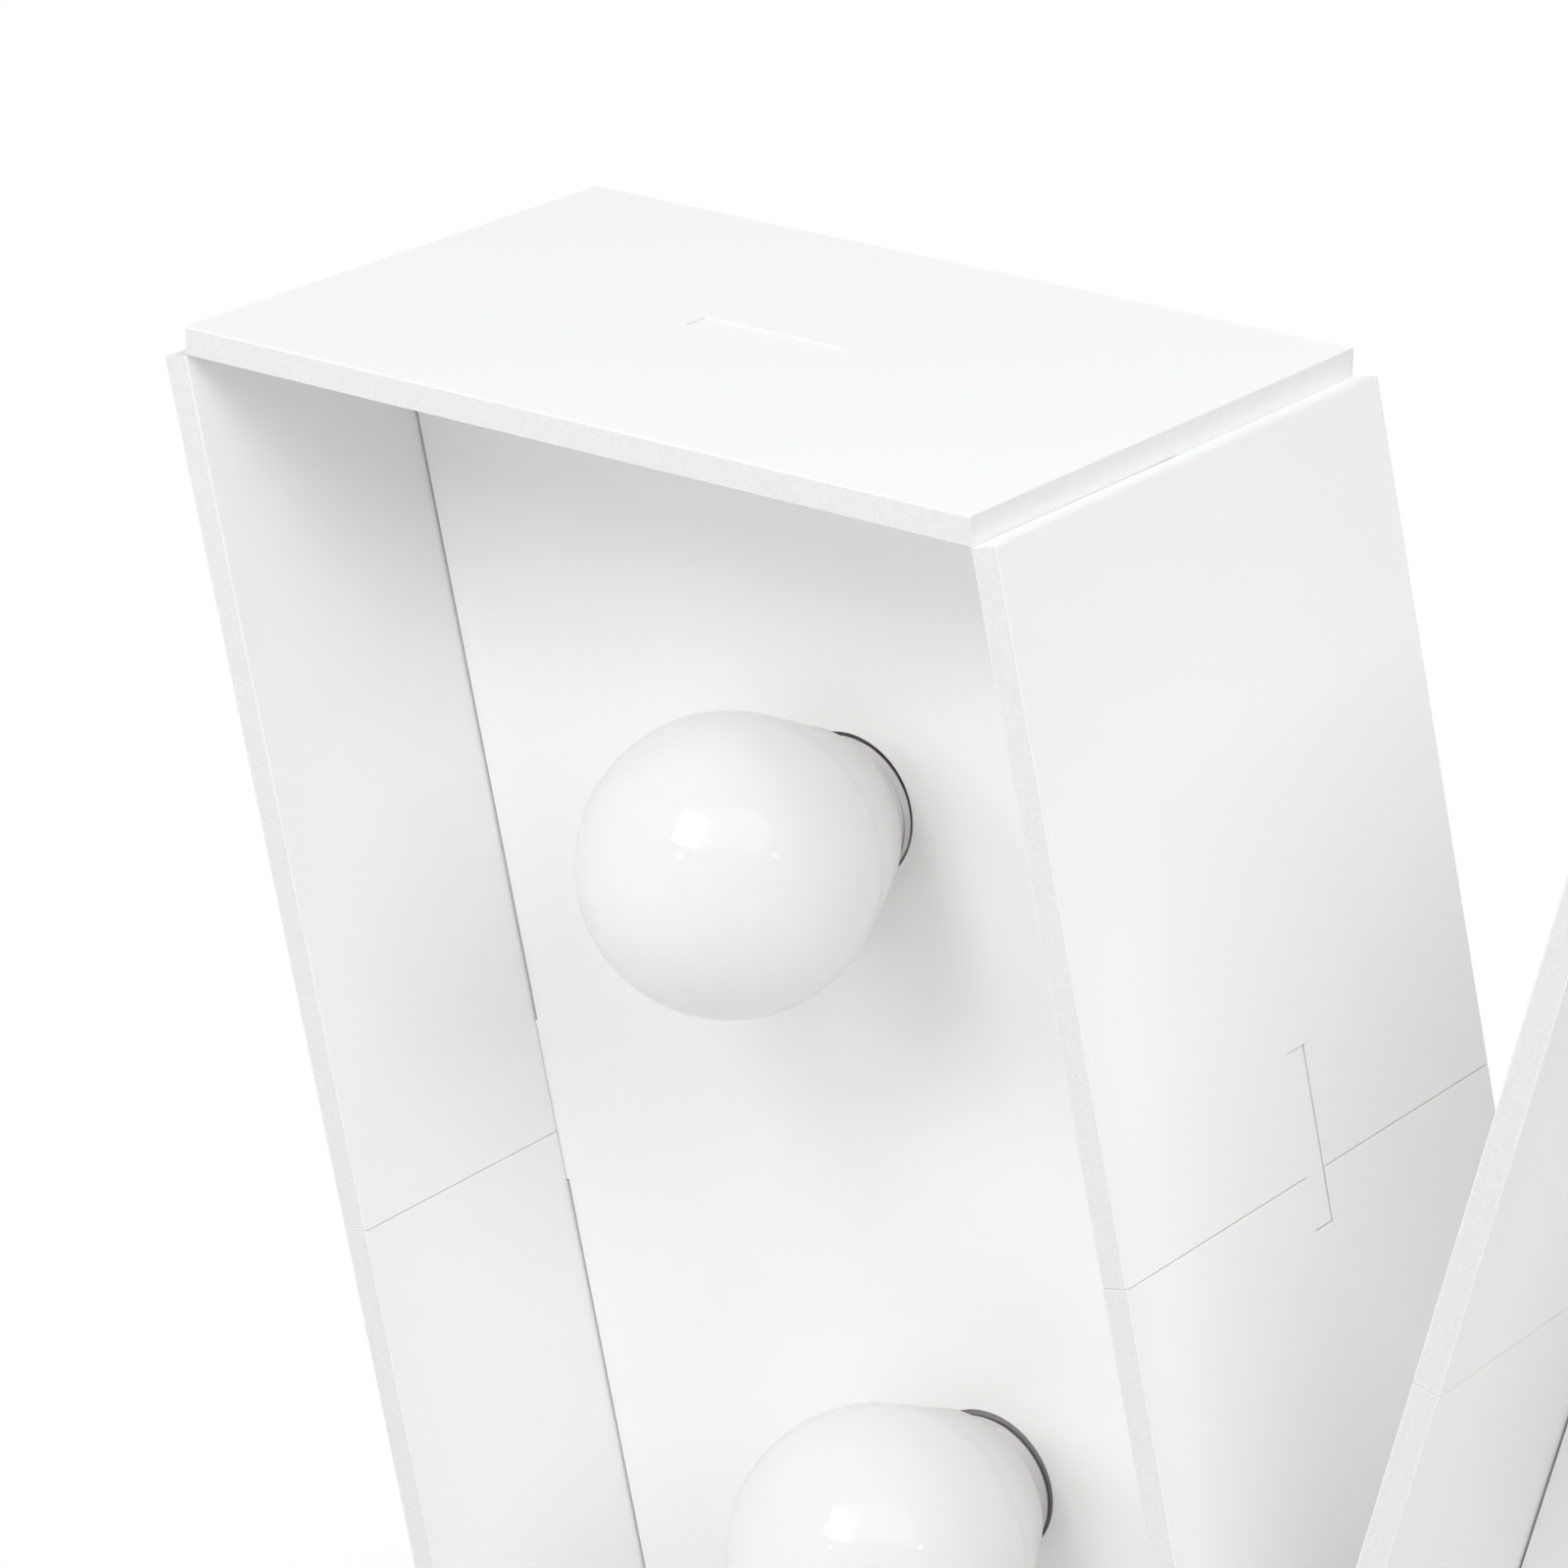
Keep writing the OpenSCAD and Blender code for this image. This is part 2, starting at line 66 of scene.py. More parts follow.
MM = 0.001
SIDES = ("left", "right")
BULBS = range(1, 10)
OUTER_PANELS = 4
INNER_PANELS = 2
# Pairs of lamp holders that a pair of wires joins, and the holder that the control box feeds
JUMPERS = ((1, 2), (2, 3), (3, 4), (4, 5), (4, 6), (6, 7), (7, 8), (8, 9))
FEED = 3
# Steepest edge that is shaded smooth
SHARP = math.radians(40)
# Rounding of a corner that looks sharp, and distance below which points are one
CRISP = 0.01 * MM
WELD = 0.0001 * MM
# Points round a turned piece, round a small hole, along an arc and round a soft edge
ROUND = 96
SMALL_ROUND = 24
ARC = 56
EDGE_STEPS = 4
# Rows along a turn of the caps' thread, and turn in radians from one bulb's thread to the next
THREAD_STEPS = 20
THREAD_START = 2.4
# Points round a box's corner, and roundings in millimetres along the profiles of three mouldings
BOX_STEPS = 6
HOLDER_EDGES = (0, 0.2, 0.2, 0.2, 0.2, 0.4, 0.9, 1.2, 1.4, 0.4, 1.6, 0)
GLAND_EDGES = (0.3, 0.4, 0.2, 0.1, 0.1, 0.1, 0.3, 0.1, 0.8, 0.6, 0.5)
ROCKER_EDGES = (0.5, 1.5, 0.5, 0.3, 0.3, 0.3, 0.3)
# Power that fills out the flutes, waves along a wire, and turn in radians from one pair's waves to the next
FLUTE_POWER = 0.7
WIRE_WAVES = 6
WIRE_TURN = 1.7
# Finishes of foam board, the last a brighter tone that paints a highlight on softened edges,
# and share of a free edge's softening that a butted edge has
SKIN, CORE, PAINTED_LIGHT = range(3)
BUTTED = 0.4
# Finishes of a screw cap
NICKEL, GLASS, SOLDER = range(3)
# Sockets of a Mix node for colours: the share, both colours and the result
SHARE, FROM, TO, MIXED = 0, 6, 7, 2

Lamp = namedtuple("Lamp", "name bearing rise distance width height power mirrored")
# Point in metres that the lamps face
LAMP_AIM = (-0.12, 0, 0.5)
# Bearing to the right of straight ahead and rise in degrees, sizes in metres, power in watts, and whether
# gloss mirrors the lamp
LAMPS = (
    Lamp("bank", 31, 50, 1.6, 2.0, 0.85, 4.8, True),
    Lamp("key", -31, 27, 1.6, 0.6, 0.6, 2.0, False),
    Lamp("far", -55, 20, 1.6, 0.8, 0.8, 6.0, False),
    Lamp("front", 10, 12, 1.6, 0.8, 0.8, 2.1, False),
    Lamp("spot", -3, 42, 1.6, 0.6, 0.6, 1.7, False),
    Lamp("window", -3, 42, 1.65, 0.6, 0.6, 3.8, True),
    Lamp("side", 62, 36, 1.6, 0.9, 0.7, 6.2, False),
    Lamp("back", 150, 45, 1.6, 1.0, 1.0, 8.6, True),
    Lamp("front_glint", -4, 24, 1.6, 0.06, 0.06, 0.25, True),
    Lamp("side_glint", 72.5, 26, 1.6, 0.06, 0.06, 0.25, True),
)

TOP_LOW, TOP_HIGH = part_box("top_panel_left")
BOTTOM_LOW, BOTTOM_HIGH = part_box("bottom_panel")
BOARD_LOW, BOARD_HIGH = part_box("bulb_board")
GLOBE_LOW, GLOBE_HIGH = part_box("globe_1")
SKIRT_LOW, SKIRT_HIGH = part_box("bulb_skirt_1")
CAP_LOW, CAP_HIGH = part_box("screw_cap_1")
HOLDER_LOW, HOLDER_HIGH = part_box("lamp_holder_1")
BOX_LOW, BOX_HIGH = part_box("control_box")
LID_LOW, LID_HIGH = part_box("control_lid")
GLAND_LOW, GLAND_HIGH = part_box("cord_gland")
SWITCH_LOW, SWITCH_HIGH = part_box("switch_body")
ROCKER_LOW, ROCKER_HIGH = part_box("rocker")


def linear(code):
    """Linear colour with alpha of an sRGB hex code."""
    srgb = np.array([int(code[i:i + 2], 16) for i in (0, 2, 4)]) / 255
    rgb = np.where(srgb <= 0.04045, srgb / 12.92, ((srgb + 0.055) / 1.055) ** 2.4)
    return (*rgb.tolist(), 1.0)


def length(name, description, default):
    """Length property in metres."""
    return FloatProperty(name=name, description=description, default=default, unit="LENGTH", precision=5)


def angle(name, description, degrees):
    """Angle property from degrees."""
    return FloatProperty(name=name, description=description, default=math.radians(degrees), unit="ROTATION")


def number(name, description, default):
    """Whole number property."""
    return IntProperty(name=name, description=description, default=default)


def colour(name, description, code):
    """Colour property from a hex code."""
    return FloatVectorProperty(name=name, description=description, default=linear(code), size=4,
                               min=0, max=1, subtype="COLOR")


class LetterSheet(bpy.types.PropertyGroup):
    """Sizes of the foam-board panels and their joints."""

    lean: angle("Lean", "Lean of the arms from upright", 13.5)
    sheet: length("Sheet", "Thickness of the foam board", TOP_HIGH.z - TOP_LOW.z)
    depth: length("Depth", "Depth of the walls", TOP_HIGH.y - TOP_LOW.y)
    edge: length("Edge", "Softening of the cut edges", 0.33 * MM)
    corner: length("Corner", "Rounding of the panels' corners", 0.3 * MM)
    inner_seam: length("Inner seam", "Distance of the inner walls' seam from their top", 119.3 * MM)
    seam: length("Seam", "Play at the lower ends of the walls", 0.25 * MM)
    joint: length("Joint", "Gap that shows at a seam of the inner walls", 0.08 * MM)
    tight: length("Tight joint", "Gap that shows at a seam of the outer walls", 0.02 * MM)
    slot_half: length("Slot half width", "Half of the width of the slots for the tabs", 2.65 * MM)
    tab: length("Tab", "Length of the tabs of the bulb board", 30 * MM)
    tab_above: length("Tab above seam", "How far a tab reaches above its seam", 20.9 * MM)
    clear: length("Slot clearance", "Clearance at the ends of a slot", 0.15 * MM)
    overcut: length("Overcut", "How far the knife ran past the corners of a slot", 1.5 * MM)
    knife: length("Knife", "Width of the knife's cut", 0.14 * MM)
    board_gap: length("Board gap", "Gap between the bulb board's slanted edges and the walls", 0.45 * MM)
    board_edge: length("Board edge", "Softening of the bulb board's edges", 0.15 * MM)
    hole: length("Bulb hole", "Radius of the bulb holes", 13.25 * MM)


class LetterBulb(bpy.types.PropertyGroup):
    """Sizes of the bulbs."""

    wall: length("Globe wall", "Wall of the globe", 1.2 * MM)
    seam: length("Seam", "Gap between the globe and the skirt", 0.12 * MM)
    rim: length("Rim radius", "Radius of the skirt at its rim", 16.4 * MM)
    lip: length("Rim lip", "Rounding of the skirt's rim", 0.45 * MM)
    soft: length("Soft edge", "Rounding of the skirt's inner edges", 0.2 * MM)
    plate: length("Plate", "Thickness of the plate that closes the skirt", 2 * MM)
    play: length("Play", "Clearance of the cap in the skirt", 0.08 * MM)
    collar_in: length("Collar step", "How far the collar lies below the crest of the thread", 0.05 * MM)
    curl: length("Curl", "Length of the step between the collar and the thread", 0.3 * MM)
    pitch: length("Pitch", "Pitch of the screw thread", 3.63 * MM)
    thread: length("Thread depth", "Depth of the screw thread", 0.95 * MM)
    turns: number("Turns", "Turns of the screw thread", 4)
    run_in: length("Run-in", "Length over which the thread sets in", 3.6 * MM)
    insulator: length("Insulator", "Height of the insulator cone", 4 * MM)
    ledge: length("Ledge", "Width of the insulator round the centre contact", 1 * MM)
    tip: length("Tip radius", "Radius of the centre contact", 4.6 * MM)
    tip_height: length("Tip height", "Height of the centre contact", 2.5 * MM)
    tip_bevel: length("Tip bevel", "Bevel of the centre contact", 0.8 * MM)


class LetterHolder(bpy.types.PropertyGroup):
    """Sizes of the lamp holders."""

    flange: length("Flange", "Thickness of the flange", 3.5 * MM)
    barrel: length("Barrel radius", "Radius of the barrel", 18 * MM)
    nose: length("Nose radius", "Radius of the nose", 15 * MM)
    nose_length: length("Nose length", "Length of the nose", 4 * MM)
    slope: length("Slope", "Height of the slope between the barrel and the nose", 1 * MM)
    bore: length("Bore radius", "Radius of the bore", 14.25 * MM)
    bore_depth: length("Bore depth", "Depth of the bore", 11.97 * MM)
    pocket: length("Pocket radius", "Radius of the pocket for the centre contact", 6.8 * MM)
    pocket_depth: length("Pocket depth", "Depth of the pocket", 6.2 * MM)
    flutes: number("Flutes", "Grip flutes round the barrel", 18)
    flute: length("Flute depth", "Depth of the grip flutes", 0.7 * MM)
    flute_end: length("Flute end", "Plain length at each end of the flutes", 1.5 * MM)
    flute_run: length("Flute run-out", "Length over which the flutes run out", 2 * MM)


class LetterWires(bpy.types.PropertyGroup):
    """Sizes of the wires behind the bulb board."""

    radius: length("Wire radius", "Radius of an insulated wire", 1.2 * MM)
    spacing: length("Wire spacing", "Distance between the wires of a pair", 7 * MM)
    wander: length("Wander", "How far a wire wanders from its straight run", 0.5 * MM)
    rest: length("Rest", "Gap between the wires and the board", 0.05 * MM)
    start: length("Start", "Distance of a wire's end from the bore of its holder", 1.5 * MM)
    feed_in: length("Feed", "How far the feed wires reach into the control box", 3 * MM)


class LetterBox(bpy.types.PropertyGroup):
    """Sizes of the control box, its lid and the cord gland."""

    corner: length("Corner", "Rounding of the upright edges", 3 * MM)
    wall: length("Wall", "Wall of the box", 2.2 * MM)
    floor: length("Floor", "Floor of the box", 3.5 * MM)
    soft: length("Soft edge", "Rounding of the box's rims", 0.3 * MM)
    boss_inset: length("Boss inset", "Distance of the bosses' axes from the sides", 4.6 * MM)
    screw: length("Screw hole", "Radius of the screw holes", 1.2 * MM)
    cushion: length("Cushion", "Rounding of the lid's outer edge", 0.9 * MM)
    draft: length("Draft", "How far the lid draws in towards the box", 0.25 * MM)
    fit: length("Fit", "Clearance round the switch and the gland in the lid", 0.1 * MM)
    gland_bore: length("Gland bore", "Radius of the gland's bore", 3.2 * MM)
    gland_neck: length("Gland neck", "Radius of the gland's neck", 5.4 * MM)
    nut: length("Nut", "Height of the gland's outer nut", 2.4 * MM)
    dome_in: length("Dome step", "How far the gland's dome lies inside its nut", 0.9 * MM)
    dome_bevel: length("Dome bevel", "Height of the slope at the end of the dome", 1.7 * MM)
    ribs: number("Ribs", "Ribs round the gland's dome", 16)
    rib: length("Rib", "Half of the depth between the ribs", 0.2 * MM)


class LetterSwitch(bpy.types.PropertyGroup):
    """Sizes of the rocker switch."""

    lip: length("Lip", "Width of the bezel outside the opening of the lid", 1.4 * MM)
    bezel: length("Bezel", "Height of the bezel above the lid", 2 * MM)
    wall: length("Wall", "Wall round the rocker", 1.2 * MM)
    well: length("Well", "Depth of the rocker's well below the lid", 4.9 * MM)
    soft: length("Soft edge", "Rounding of the bezel", 0.5 * MM)
    corner: length("Corner", "Rounding of the upright edges", 0.8 * MM)
    face: length("Rocker face", "Height of the middle of the rocker above its pivot", 3.4 * MM)
    end: length("Rocker end", "Height of the rocker's ends above its pivot", 4.72 * MM)
    half: length("Rocker half", "Half of the rocker's length", 7.49 * MM)
    side: length("Rocker side", "Depth of the rocker's ends below its pivot", 0.5 * MM)
    belly: length("Rocker belly", "Depth and half width of the rocker at its pivot", 2 * MM)
    cheek: length("Cheek", "Rounding of the rocker's cheeks", 0.35 * MM)
    pin: length("Pin", "Length of a pivot pin", 0.65 * MM)
    tilt: angle("Tilt", "Tilt of the rocker at rest", 10)


class LetterColours(bpy.types.PropertyGroup):
    """Colours of the finishes."""

    foam: colour("Foam board", "Skin of the foam board", "FAFAFA")
    cut: colour("Cut foam", "Cut edges of the foam board", "E8E8E8")
    # Painted highlight: brighter than the cut, on the skin's softened edges and on the top panels' ends
    burnished: colour("Burnished edge", "Edges of the foam board's skin", "F4F4F4")
    opal: colour("Opal", "Globes", "FCFCFC")
    skirt: colour("Skirt", "Skirts of the bulbs", "FDFDFD")
    nickel: colour("Nickel", "Screw caps", "E2E1DF")
    vitrite: colour("Insulator", "Insulators of the screw caps", "26262A")
    holder: colour("Holder", "Lamp holders", "E6E3DC")
    brass: colour("Brass", "Contacts", "D2AE66")
    zinc: colour("Zinc", "Screws", "C3C7CB")
    wire: colour("Wire", "Plain wires", "EDEBE4")
    wire_marked: colour("Marked wire", "Marked wires", "9C9C98")
    box: colour("Control box", "Control box and lid", "EAEAE8")
    black: colour("Black plastic", "Gland and switch", "1C1C1E")
    floor: colour("Floor", "Floor", "F2F2F2")


class LetterStage(bpy.types.PropertyGroup):
    """Camera, light and floor."""

    eye: FloatVectorProperty(name="Eye", description="Place of the camera", size=3, subtype="TRANSLATION",
                             default=(0.43137, -0.76638, 0.90189))
    heading: angle("Heading", "Turn of the view to the left of straight back", 36.386)
    pitch: angle("Pitch", "Downward tilt of the view", 21.241)
    roll: angle("Roll", "Roll of the view", -0.579)
    lens: FloatProperty(name="Lens", description="Focal length in millimetres", default=138.48)
    sensor: FloatProperty(name="Sensor", description="Width of the sensor in millimetres", default=36)
    dome: FloatProperty(name="Dome", description="Level of the light from all round", default=0.34)
    floor_size: length("Floor size", "Length of the floor's sides", 16.0)
    clear_near: length("Shadow reach", "Distance at which the floor starts to turn into the backdrop", 0.35)
    clear_far: length("Backdrop", "Distance from which the floor is all backdrop", 0.85)


def settings(context, group):
    """Property group of the scene."""
    return getattr(context.scene, "letter_" + group)


def unit(vectors):
    """Vectors scaled to length one."""
    return vectors / np.linalg.norm(vectors, axis=-1, keepdims=True)


def grid_faces(rows, cols):
    """Quads of a grid of rows by cols points, counted row by row."""
    first = (np.arange(rows - 1)[:, None] * cols + np.arange(cols - 1)).reshape(-1)
    return np.stack([first, first + 1, first + cols + 1, first + cols], 1)


def joined(grids):
    """Points and quads of several grids as one mesh."""
    first = np.cumsum([0] + [grid[..., 0].size for grid in grids])
    quads = [start + grid_faces(*grid.shape[:2]) for start, grid in zip(first, grids)]
    return np.concatenate([grid.reshape(-1, 3) for grid in grids]), np.concatenate(quads)


def moved_in(corners, steps):
    """Corners of an anticlockwise polygon after each side moves inwards by its own step.

    The new corner q is where both moved sides meet: q.n0 = step before, q.n1 = step after.
    """
    ahead = unit(np.roll(corners, -1, 0) - corners)
    normal = np.stack([-ahead[:, 1], ahead[:, 0]], 1)
    before = np.roll(normal, 1, 0)
    step_before = np.roll(steps, 1)
    share = (normal * before).sum(1)
    a = (step_before - steps * share) / (1 - share ** 2)
    b = (steps - step_before * share) / (1 - share ** 2)
    return corners + before * a[:, None] + normal * b[:, None]


def rounded(corners, radius, steps=EDGE_STEPS, closed=True):
    """Path with rounded corners: each corner P becomes the parabola (1-s)^2 A + 2s(1-s) P + s^2 B.

    A and B lie at the distance radius from P along its two sides. An open path keeps its two ends.
    """
    corners = np.asarray(corners, float)
    radius = np.broadcast_to(np.asarray(radius, float), len(corners))[:, None]
    ahead = unit(np.roll(corners, -1, 0) - corners)
    start = corners - radius * np.roll(ahead, 1, 0)
    stop = corners + radius * ahead
    s = np.linspace(0, 1, steps)[None, :, None]
    path = (1 - s) ** 2 * start[:, None] + 2 * s * (1 - s) * corners[:, None] + s ** 2 * stop[:, None]
    if closed:
        return path.reshape(-1, 2)
    return np.concatenate([corners[:1], path[1:-1].reshape(-1, 2), corners[-1:]])


def refined(path, step):
    """Open path with points added along its long segments, none further apart than a step."""
    gap = np.linalg.norm(np.diff(path, axis=0), axis=1)
    run = np.concatenate([[0], np.cumsum(gap)])
    extra = np.linspace(0, run[-1], math.ceil(run[-1] / step) + 1)
    run_all = np.union1d(run, extra)
    return np.stack([np.interp(run_all, run, path[:, k]) for k in (0, 1)], 1)


def circle(x, y, radius, sides):
    """Loop of points (x + r cos a, y + r sin a)."""
    a = np.linspace(0, 2 * np.pi, sides, endpoint=False)
    return np.stack([x + radius * np.cos(a), y + radius * np.sin(a)], 1)


def rectangle(half_x, half_y, radius):
    """Loop of a rectangle about the origin with rounded corners."""
    corners = np.array([(1, 1), (-1, 1), (-1, -1), (1, -1)]) * (half_x, half_y)
    return rounded(corners, radius, BOX_STEPS)


def turned(profile, sides, cut=0):
    """Surface of revolution about Z: (r cos a, r sin a, h) for each profile point (r, h) and angle a.

    cut holds how far each point and angle lies below r, as an array of profile points by angles.
    """
    a = np.linspace(0, 2 * np.pi, sides + 1)
    radius = profile[:, :1] - cut
    height = np.broadcast_to(profile[:, 1:], (len(profile), sides + 1))
    return np.stack([radius * np.cos(a), radius * np.sin(a), height], -1)


def stacked(loops, heights):
    """Rows of points: each closed loop of (x, y) at its height, with its first point again at its end."""
    loops = np.asarray(loops)
    loops = np.concatenate([loops, loops[:, :1]], 1)
    lift = np.broadcast_to(np.asarray(heights, float)[:, None, None], loops.shape[:2] + (1,))
    return np.concatenate([loops, lift], -1)


def placed(points, origin, x_axis, y_axis, z_axis):
    """Points of a local frame in the frame of the letter: origin + x X + y Y + z Z."""
    return np.asarray(origin, float) + points @ np.array([x_axis, y_axis, z_axis], float)


def at_bulb(points, n):
    """Points of a bulb's own frame, whose Z runs from the board's front towards the viewer."""
    x, z = bulb_place(n)
    return placed(points, (x, BOARD_LOW.y, z), (1, 0, 0), (0, 0, 1), (0, -1, 0))


def at_box(points):
    """Points of the control box's own frame, whose Z runs backwards from the board's back."""
    return placed(points, (0, BOX_LOW.y, (BOX_LOW.z + BOX_HIGH.z) / 2), (1, 0, 0), (0, 0, -1), (0, 1, 0))


def bulb_place(n):
    """X and Z of a bulb's axis."""
    low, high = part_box(f"screw_cap_{n}")
    return (low.x + high.x) / 2, (low.z + high.z) / 2


def half_size(low, high):
    """Half of a node's width and height."""
    return (high.x - low.x) / 2, (high.z - low.z) / 2


def add_piece(name, points, faces, finishes, body, slot, nodes, face_finish=None, even=True):
    """Puts a closed surface into the scene as a piece that rides on a body and stands for CAD nodes.

    Doubled points are merged, which closes seams and poles, and the faces are turned outwards.
    Edges steeper than SHARP stay crisp. Even shading lets large flat faces outweigh soft edges beside them.
    """
    mesh = bpy.data.meshes.new(name)
    mesh.from_pydata(points.tolist(), [], faces)
    for finish in finishes:
        mesh.materials.append(finish)
    if face_finish is not None:
        mesh.polygons.foreach_set("material_index", np.asarray(face_finish, np.int32))
    mesh.polygons.foreach_set("use_smooth", np.ones(len(faces), bool))
    work = bmesh.new()
    work.from_mesh(mesh)
    bmesh.ops.remove_doubles(work, verts=work.verts, dist=WELD)
    bmesh.ops.recalc_face_normals(work, faces=work.faces)
    work.to_mesh(mesh)
    work.free()
    mesh.set_sharp_from_angle(angle=SHARP)
    piece = bpy.data.objects.new(name, mesh)
    bpy.context.scene.collection.objects.link(piece)
    if even:
        piece.modifiers.new("even shading", "WEIGHTED_NORMAL").keep_sharp = True
    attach(piece, body)
    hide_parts(*nodes)


def add_grids(name, grids, finishes, body, slot, nodes, face_finish=None, even=True):
    """Adds a piece that is made of grids of points."""
    points, quads = joined(grids)
    add_piece(name, points, quads.tolist(), finishes, body, slot, nodes, face_finish, even)


def dress(node, finish):
    """Gives a CAD node a finish."""
    mesh = frame["nodes"][node].data
    mesh.materials.clear()
    mesh.materials.append(finish)


def set_inputs(tree, node, inputs):
    """Sets a node's inputs: each value is a number, a colour or the socket that feeds it."""
    for key, value in inputs.items():
        if isinstance(value, bpy.types.NodeSocket):
            tree.links.new(value, node.inputs[key])
        else:
            node.inputs[key].default_value = value


def add_node(tree, kind, values=None, inputs=None):
    """Adds a node with its own settings and its inputs."""
    node = tree.nodes.new(kind)
    for key, value in (values or {}).items():
        setattr(node, key, value)
    set_inputs(tree, node, inputs or {})
    return node


def new_finish(name):
    """Material with a Principled shader, an output and the Object coordinates that its patterns read."""
    finish = bpy.data.materials.new(name)
    finish.use_nodes = True
    tree = finish.node_tree
    tree.nodes.clear()
    shader = add_node(tree, "ShaderNodeBsdfPrincipled")
    add_node(tree, "ShaderNodeOutputMaterial", inputs={"Surface": shader.outputs["BSDF"]})
    where = add_node(tree, "ShaderNodeTexCoord").outputs["Object"]
    return finish, tree, shader, where


def per(size):
    """Pattern scale that gives features of a size in millimetres."""
    return 1 / (size * MM)


def darker(tone, share):
    """Colour brought down by a share of its brightness."""
    return (*[c * (1 - share) for c in tone[:3]], 1.0)


def clouded(tree, where, size, detail, tone, share):
    """Clouds of a size in millimetres, and a tone that they bring down by up to a share."""
    cloud = add_node(tree, "ShaderNodeTexNoise", inputs={
        "Vector": where, "Scale": per(size), "Detail": detail}).outputs["Fac"]
    tint = add_node(tree, "ShaderNodeMix", {"data_type": "RGBA"},
                    {SHARE: cloud, FROM: darker(tone, share), TO: tuple(tone)})
    return cloud, tint.outputs[MIXED]


def grained(tree, where, size, detail, strength, depth):
    """Normals of a fine relief whose grain has a size and a depth in millimetres."""
    grain = add_node(tree, "ShaderNodeTexNoise", inputs={
        "Vector": where, "Scale": per(size), "Detail": detail})
    relief = add_node(tree, "ShaderNodeBump", inputs={
        "Height": grain.outputs["Fac"], "Strength": strength, "Distance": depth * MM})
    return relief.outputs["Normal"]


def foam_skin(colours):
    """Extruded skin of PVC foam board.

    Smooth satin white with a faint cloudiness, a fine orange peel and a rare dark speck.
    """
    finish, tree, shader, where = new_finish("pvc_foam_skin")
    skin = clouded(tree, where, size=60, detail=2.0, tone=colours.foam, share=0.012)[1]
    cell = add_node(tree, "ShaderNodeTexVoronoi", inputs={"Vector": where, "Scale": per(70)})
    speck = add_node(tree, "ShaderNodeMapRange", inputs={
        "Value": cell.outputs["Distance"], "From Min": 0.0018, "From Max": 0.0036,
        "To Min": 0.5, "To Max": 0.0})
    tone = add_node(tree, "ShaderNodeMix", {"data_type": "RGBA"},
                    {SHARE: speck.outputs["Result"], FROM: skin, TO: darker(colours.foam, 0.7)})
    sheen = add_node(tree, "ShaderNodeTexNoise", inputs={"Vector": where, "Scale": per(14), "Detail": 3.0})
    rough = add_node(tree, "ShaderNodeMapRange", inputs={
        "Value": sheen.outputs["Fac"], "To Min": 0.48, "To Max": 0.6})
    peel = grained(tree, where, size=1.1, detail=2.0, strength=0.12, depth=0.05)
    set_inputs(tree, shader, {"Base Color": tone.outputs[MIXED], "Roughness": rough.outputs["Result"],
                              "Normal": peel, "IOR": 1.45})
    return finish


def foam_cut(colours):
    """Cut edge of PVC foam board: the knife opens the cells, so it is matt and finely pitted.

    The cells, about 0.1 mm across, are drawn at 0.45 mm so that they show, with painted shade darkening
    their pits.
    """
    finish, tree, shader, where = new_finish("pvc_foam_cut_edge")
    cell = add_node(tree, "ShaderNodeTexVoronoi", inputs={"Vector": where, "Scale": per(0.45)})
    grain = add_node(tree, "ShaderNodeTexNoise", inputs={"Vector": where, "Scale": per(0.6), "Detail": 4.0})
    mixed = add_node(tree, "ShaderNodeMath", {"operation": "MULTIPLY_ADD"},
                     {0: cell.outputs["Distance"], 1: 0.5, 2: grain.outputs["Fac"]})
    pit_shade_share = add_node(tree, "ShaderNodeMapRange", inputs={
        "Value": mixed.outputs["Value"], "From Min": 0.35, "From Max": 0.95})
    # Painted shade: the colour is darker where the relief is lowest, in the pits of the cells
    tone = add_node(tree, "ShaderNodeMix", {"data_type": "RGBA"}, {
        SHARE: pit_shade_share.outputs["Result"], FROM: darker(colours.cut, 0.075), TO: tuple(colours.cut)})
    relief = add_node(tree, "ShaderNodeBump", inputs={
        "Height": mixed.outputs["Value"], "Strength": 0.35, "Distance": 0.1 * MM})
    set_inputs(tree, shader, {"Base Color": tone.outputs[MIXED], "Roughness": 0.85,
                              "Normal": relief.outputs["Normal"], "IOR": 1.4})
    return finish


def foam_edge_highlight_paint(colours):
    """Softened edge of the skin of PVC foam board, drawn brighter than the cut: a painted highlight along a
    thin line.
    """
    finish, tree, shader, where = new_finish("pvc_foam_burnished_edge")
    highlight_cloud, tone = clouded(tree, where, size=2.5, detail=3.0, tone=colours.burnished, share=0.06)
    rough = add_node(tree, "ShaderNodeMapRange", inputs={"Value": highlight_cloud, "To Min": 0.25, "To Max": 0.45})
    set_inputs(tree, shader, {"Base Color": tone, "Roughness": rough.outputs["Result"], "IOR": 1.5})
    return finish


FOAM = {"pvc_foam_skin": foam_skin, "pvc_foam_cut_edge": foam_cut,
        "pvc_foam_burnished_edge": foam_edge_highlight_paint}


def foam_finishes(context):
    """Finishes of foam board in the order SKIN, CORE, PAINTED_LIGHT, made once for all panels."""
    made = [bpy.data.materials.get(name) for name in FOAM]
    if None in made:
        made = [make(settings(context, "colours")) for make in FOAM.values()]
    return made


def make_milky(tree, shader, tone, share):
    """Lets a share of the light through a surface, scattered, so that it fills the piece from one side."""
    through = add_node(tree, "ShaderNodeBsdfTranslucent", inputs={"Color": tone})
    milky = add_node(tree, "ShaderNodeMixShader", inputs={
        0: share, 1: shader.outputs["BSDF"], 2: through.outputs["BSDF"]})
    set_inputs(tree, tree.get_output_node("ALL"), {"Surface": milky.outputs["Shader"]})


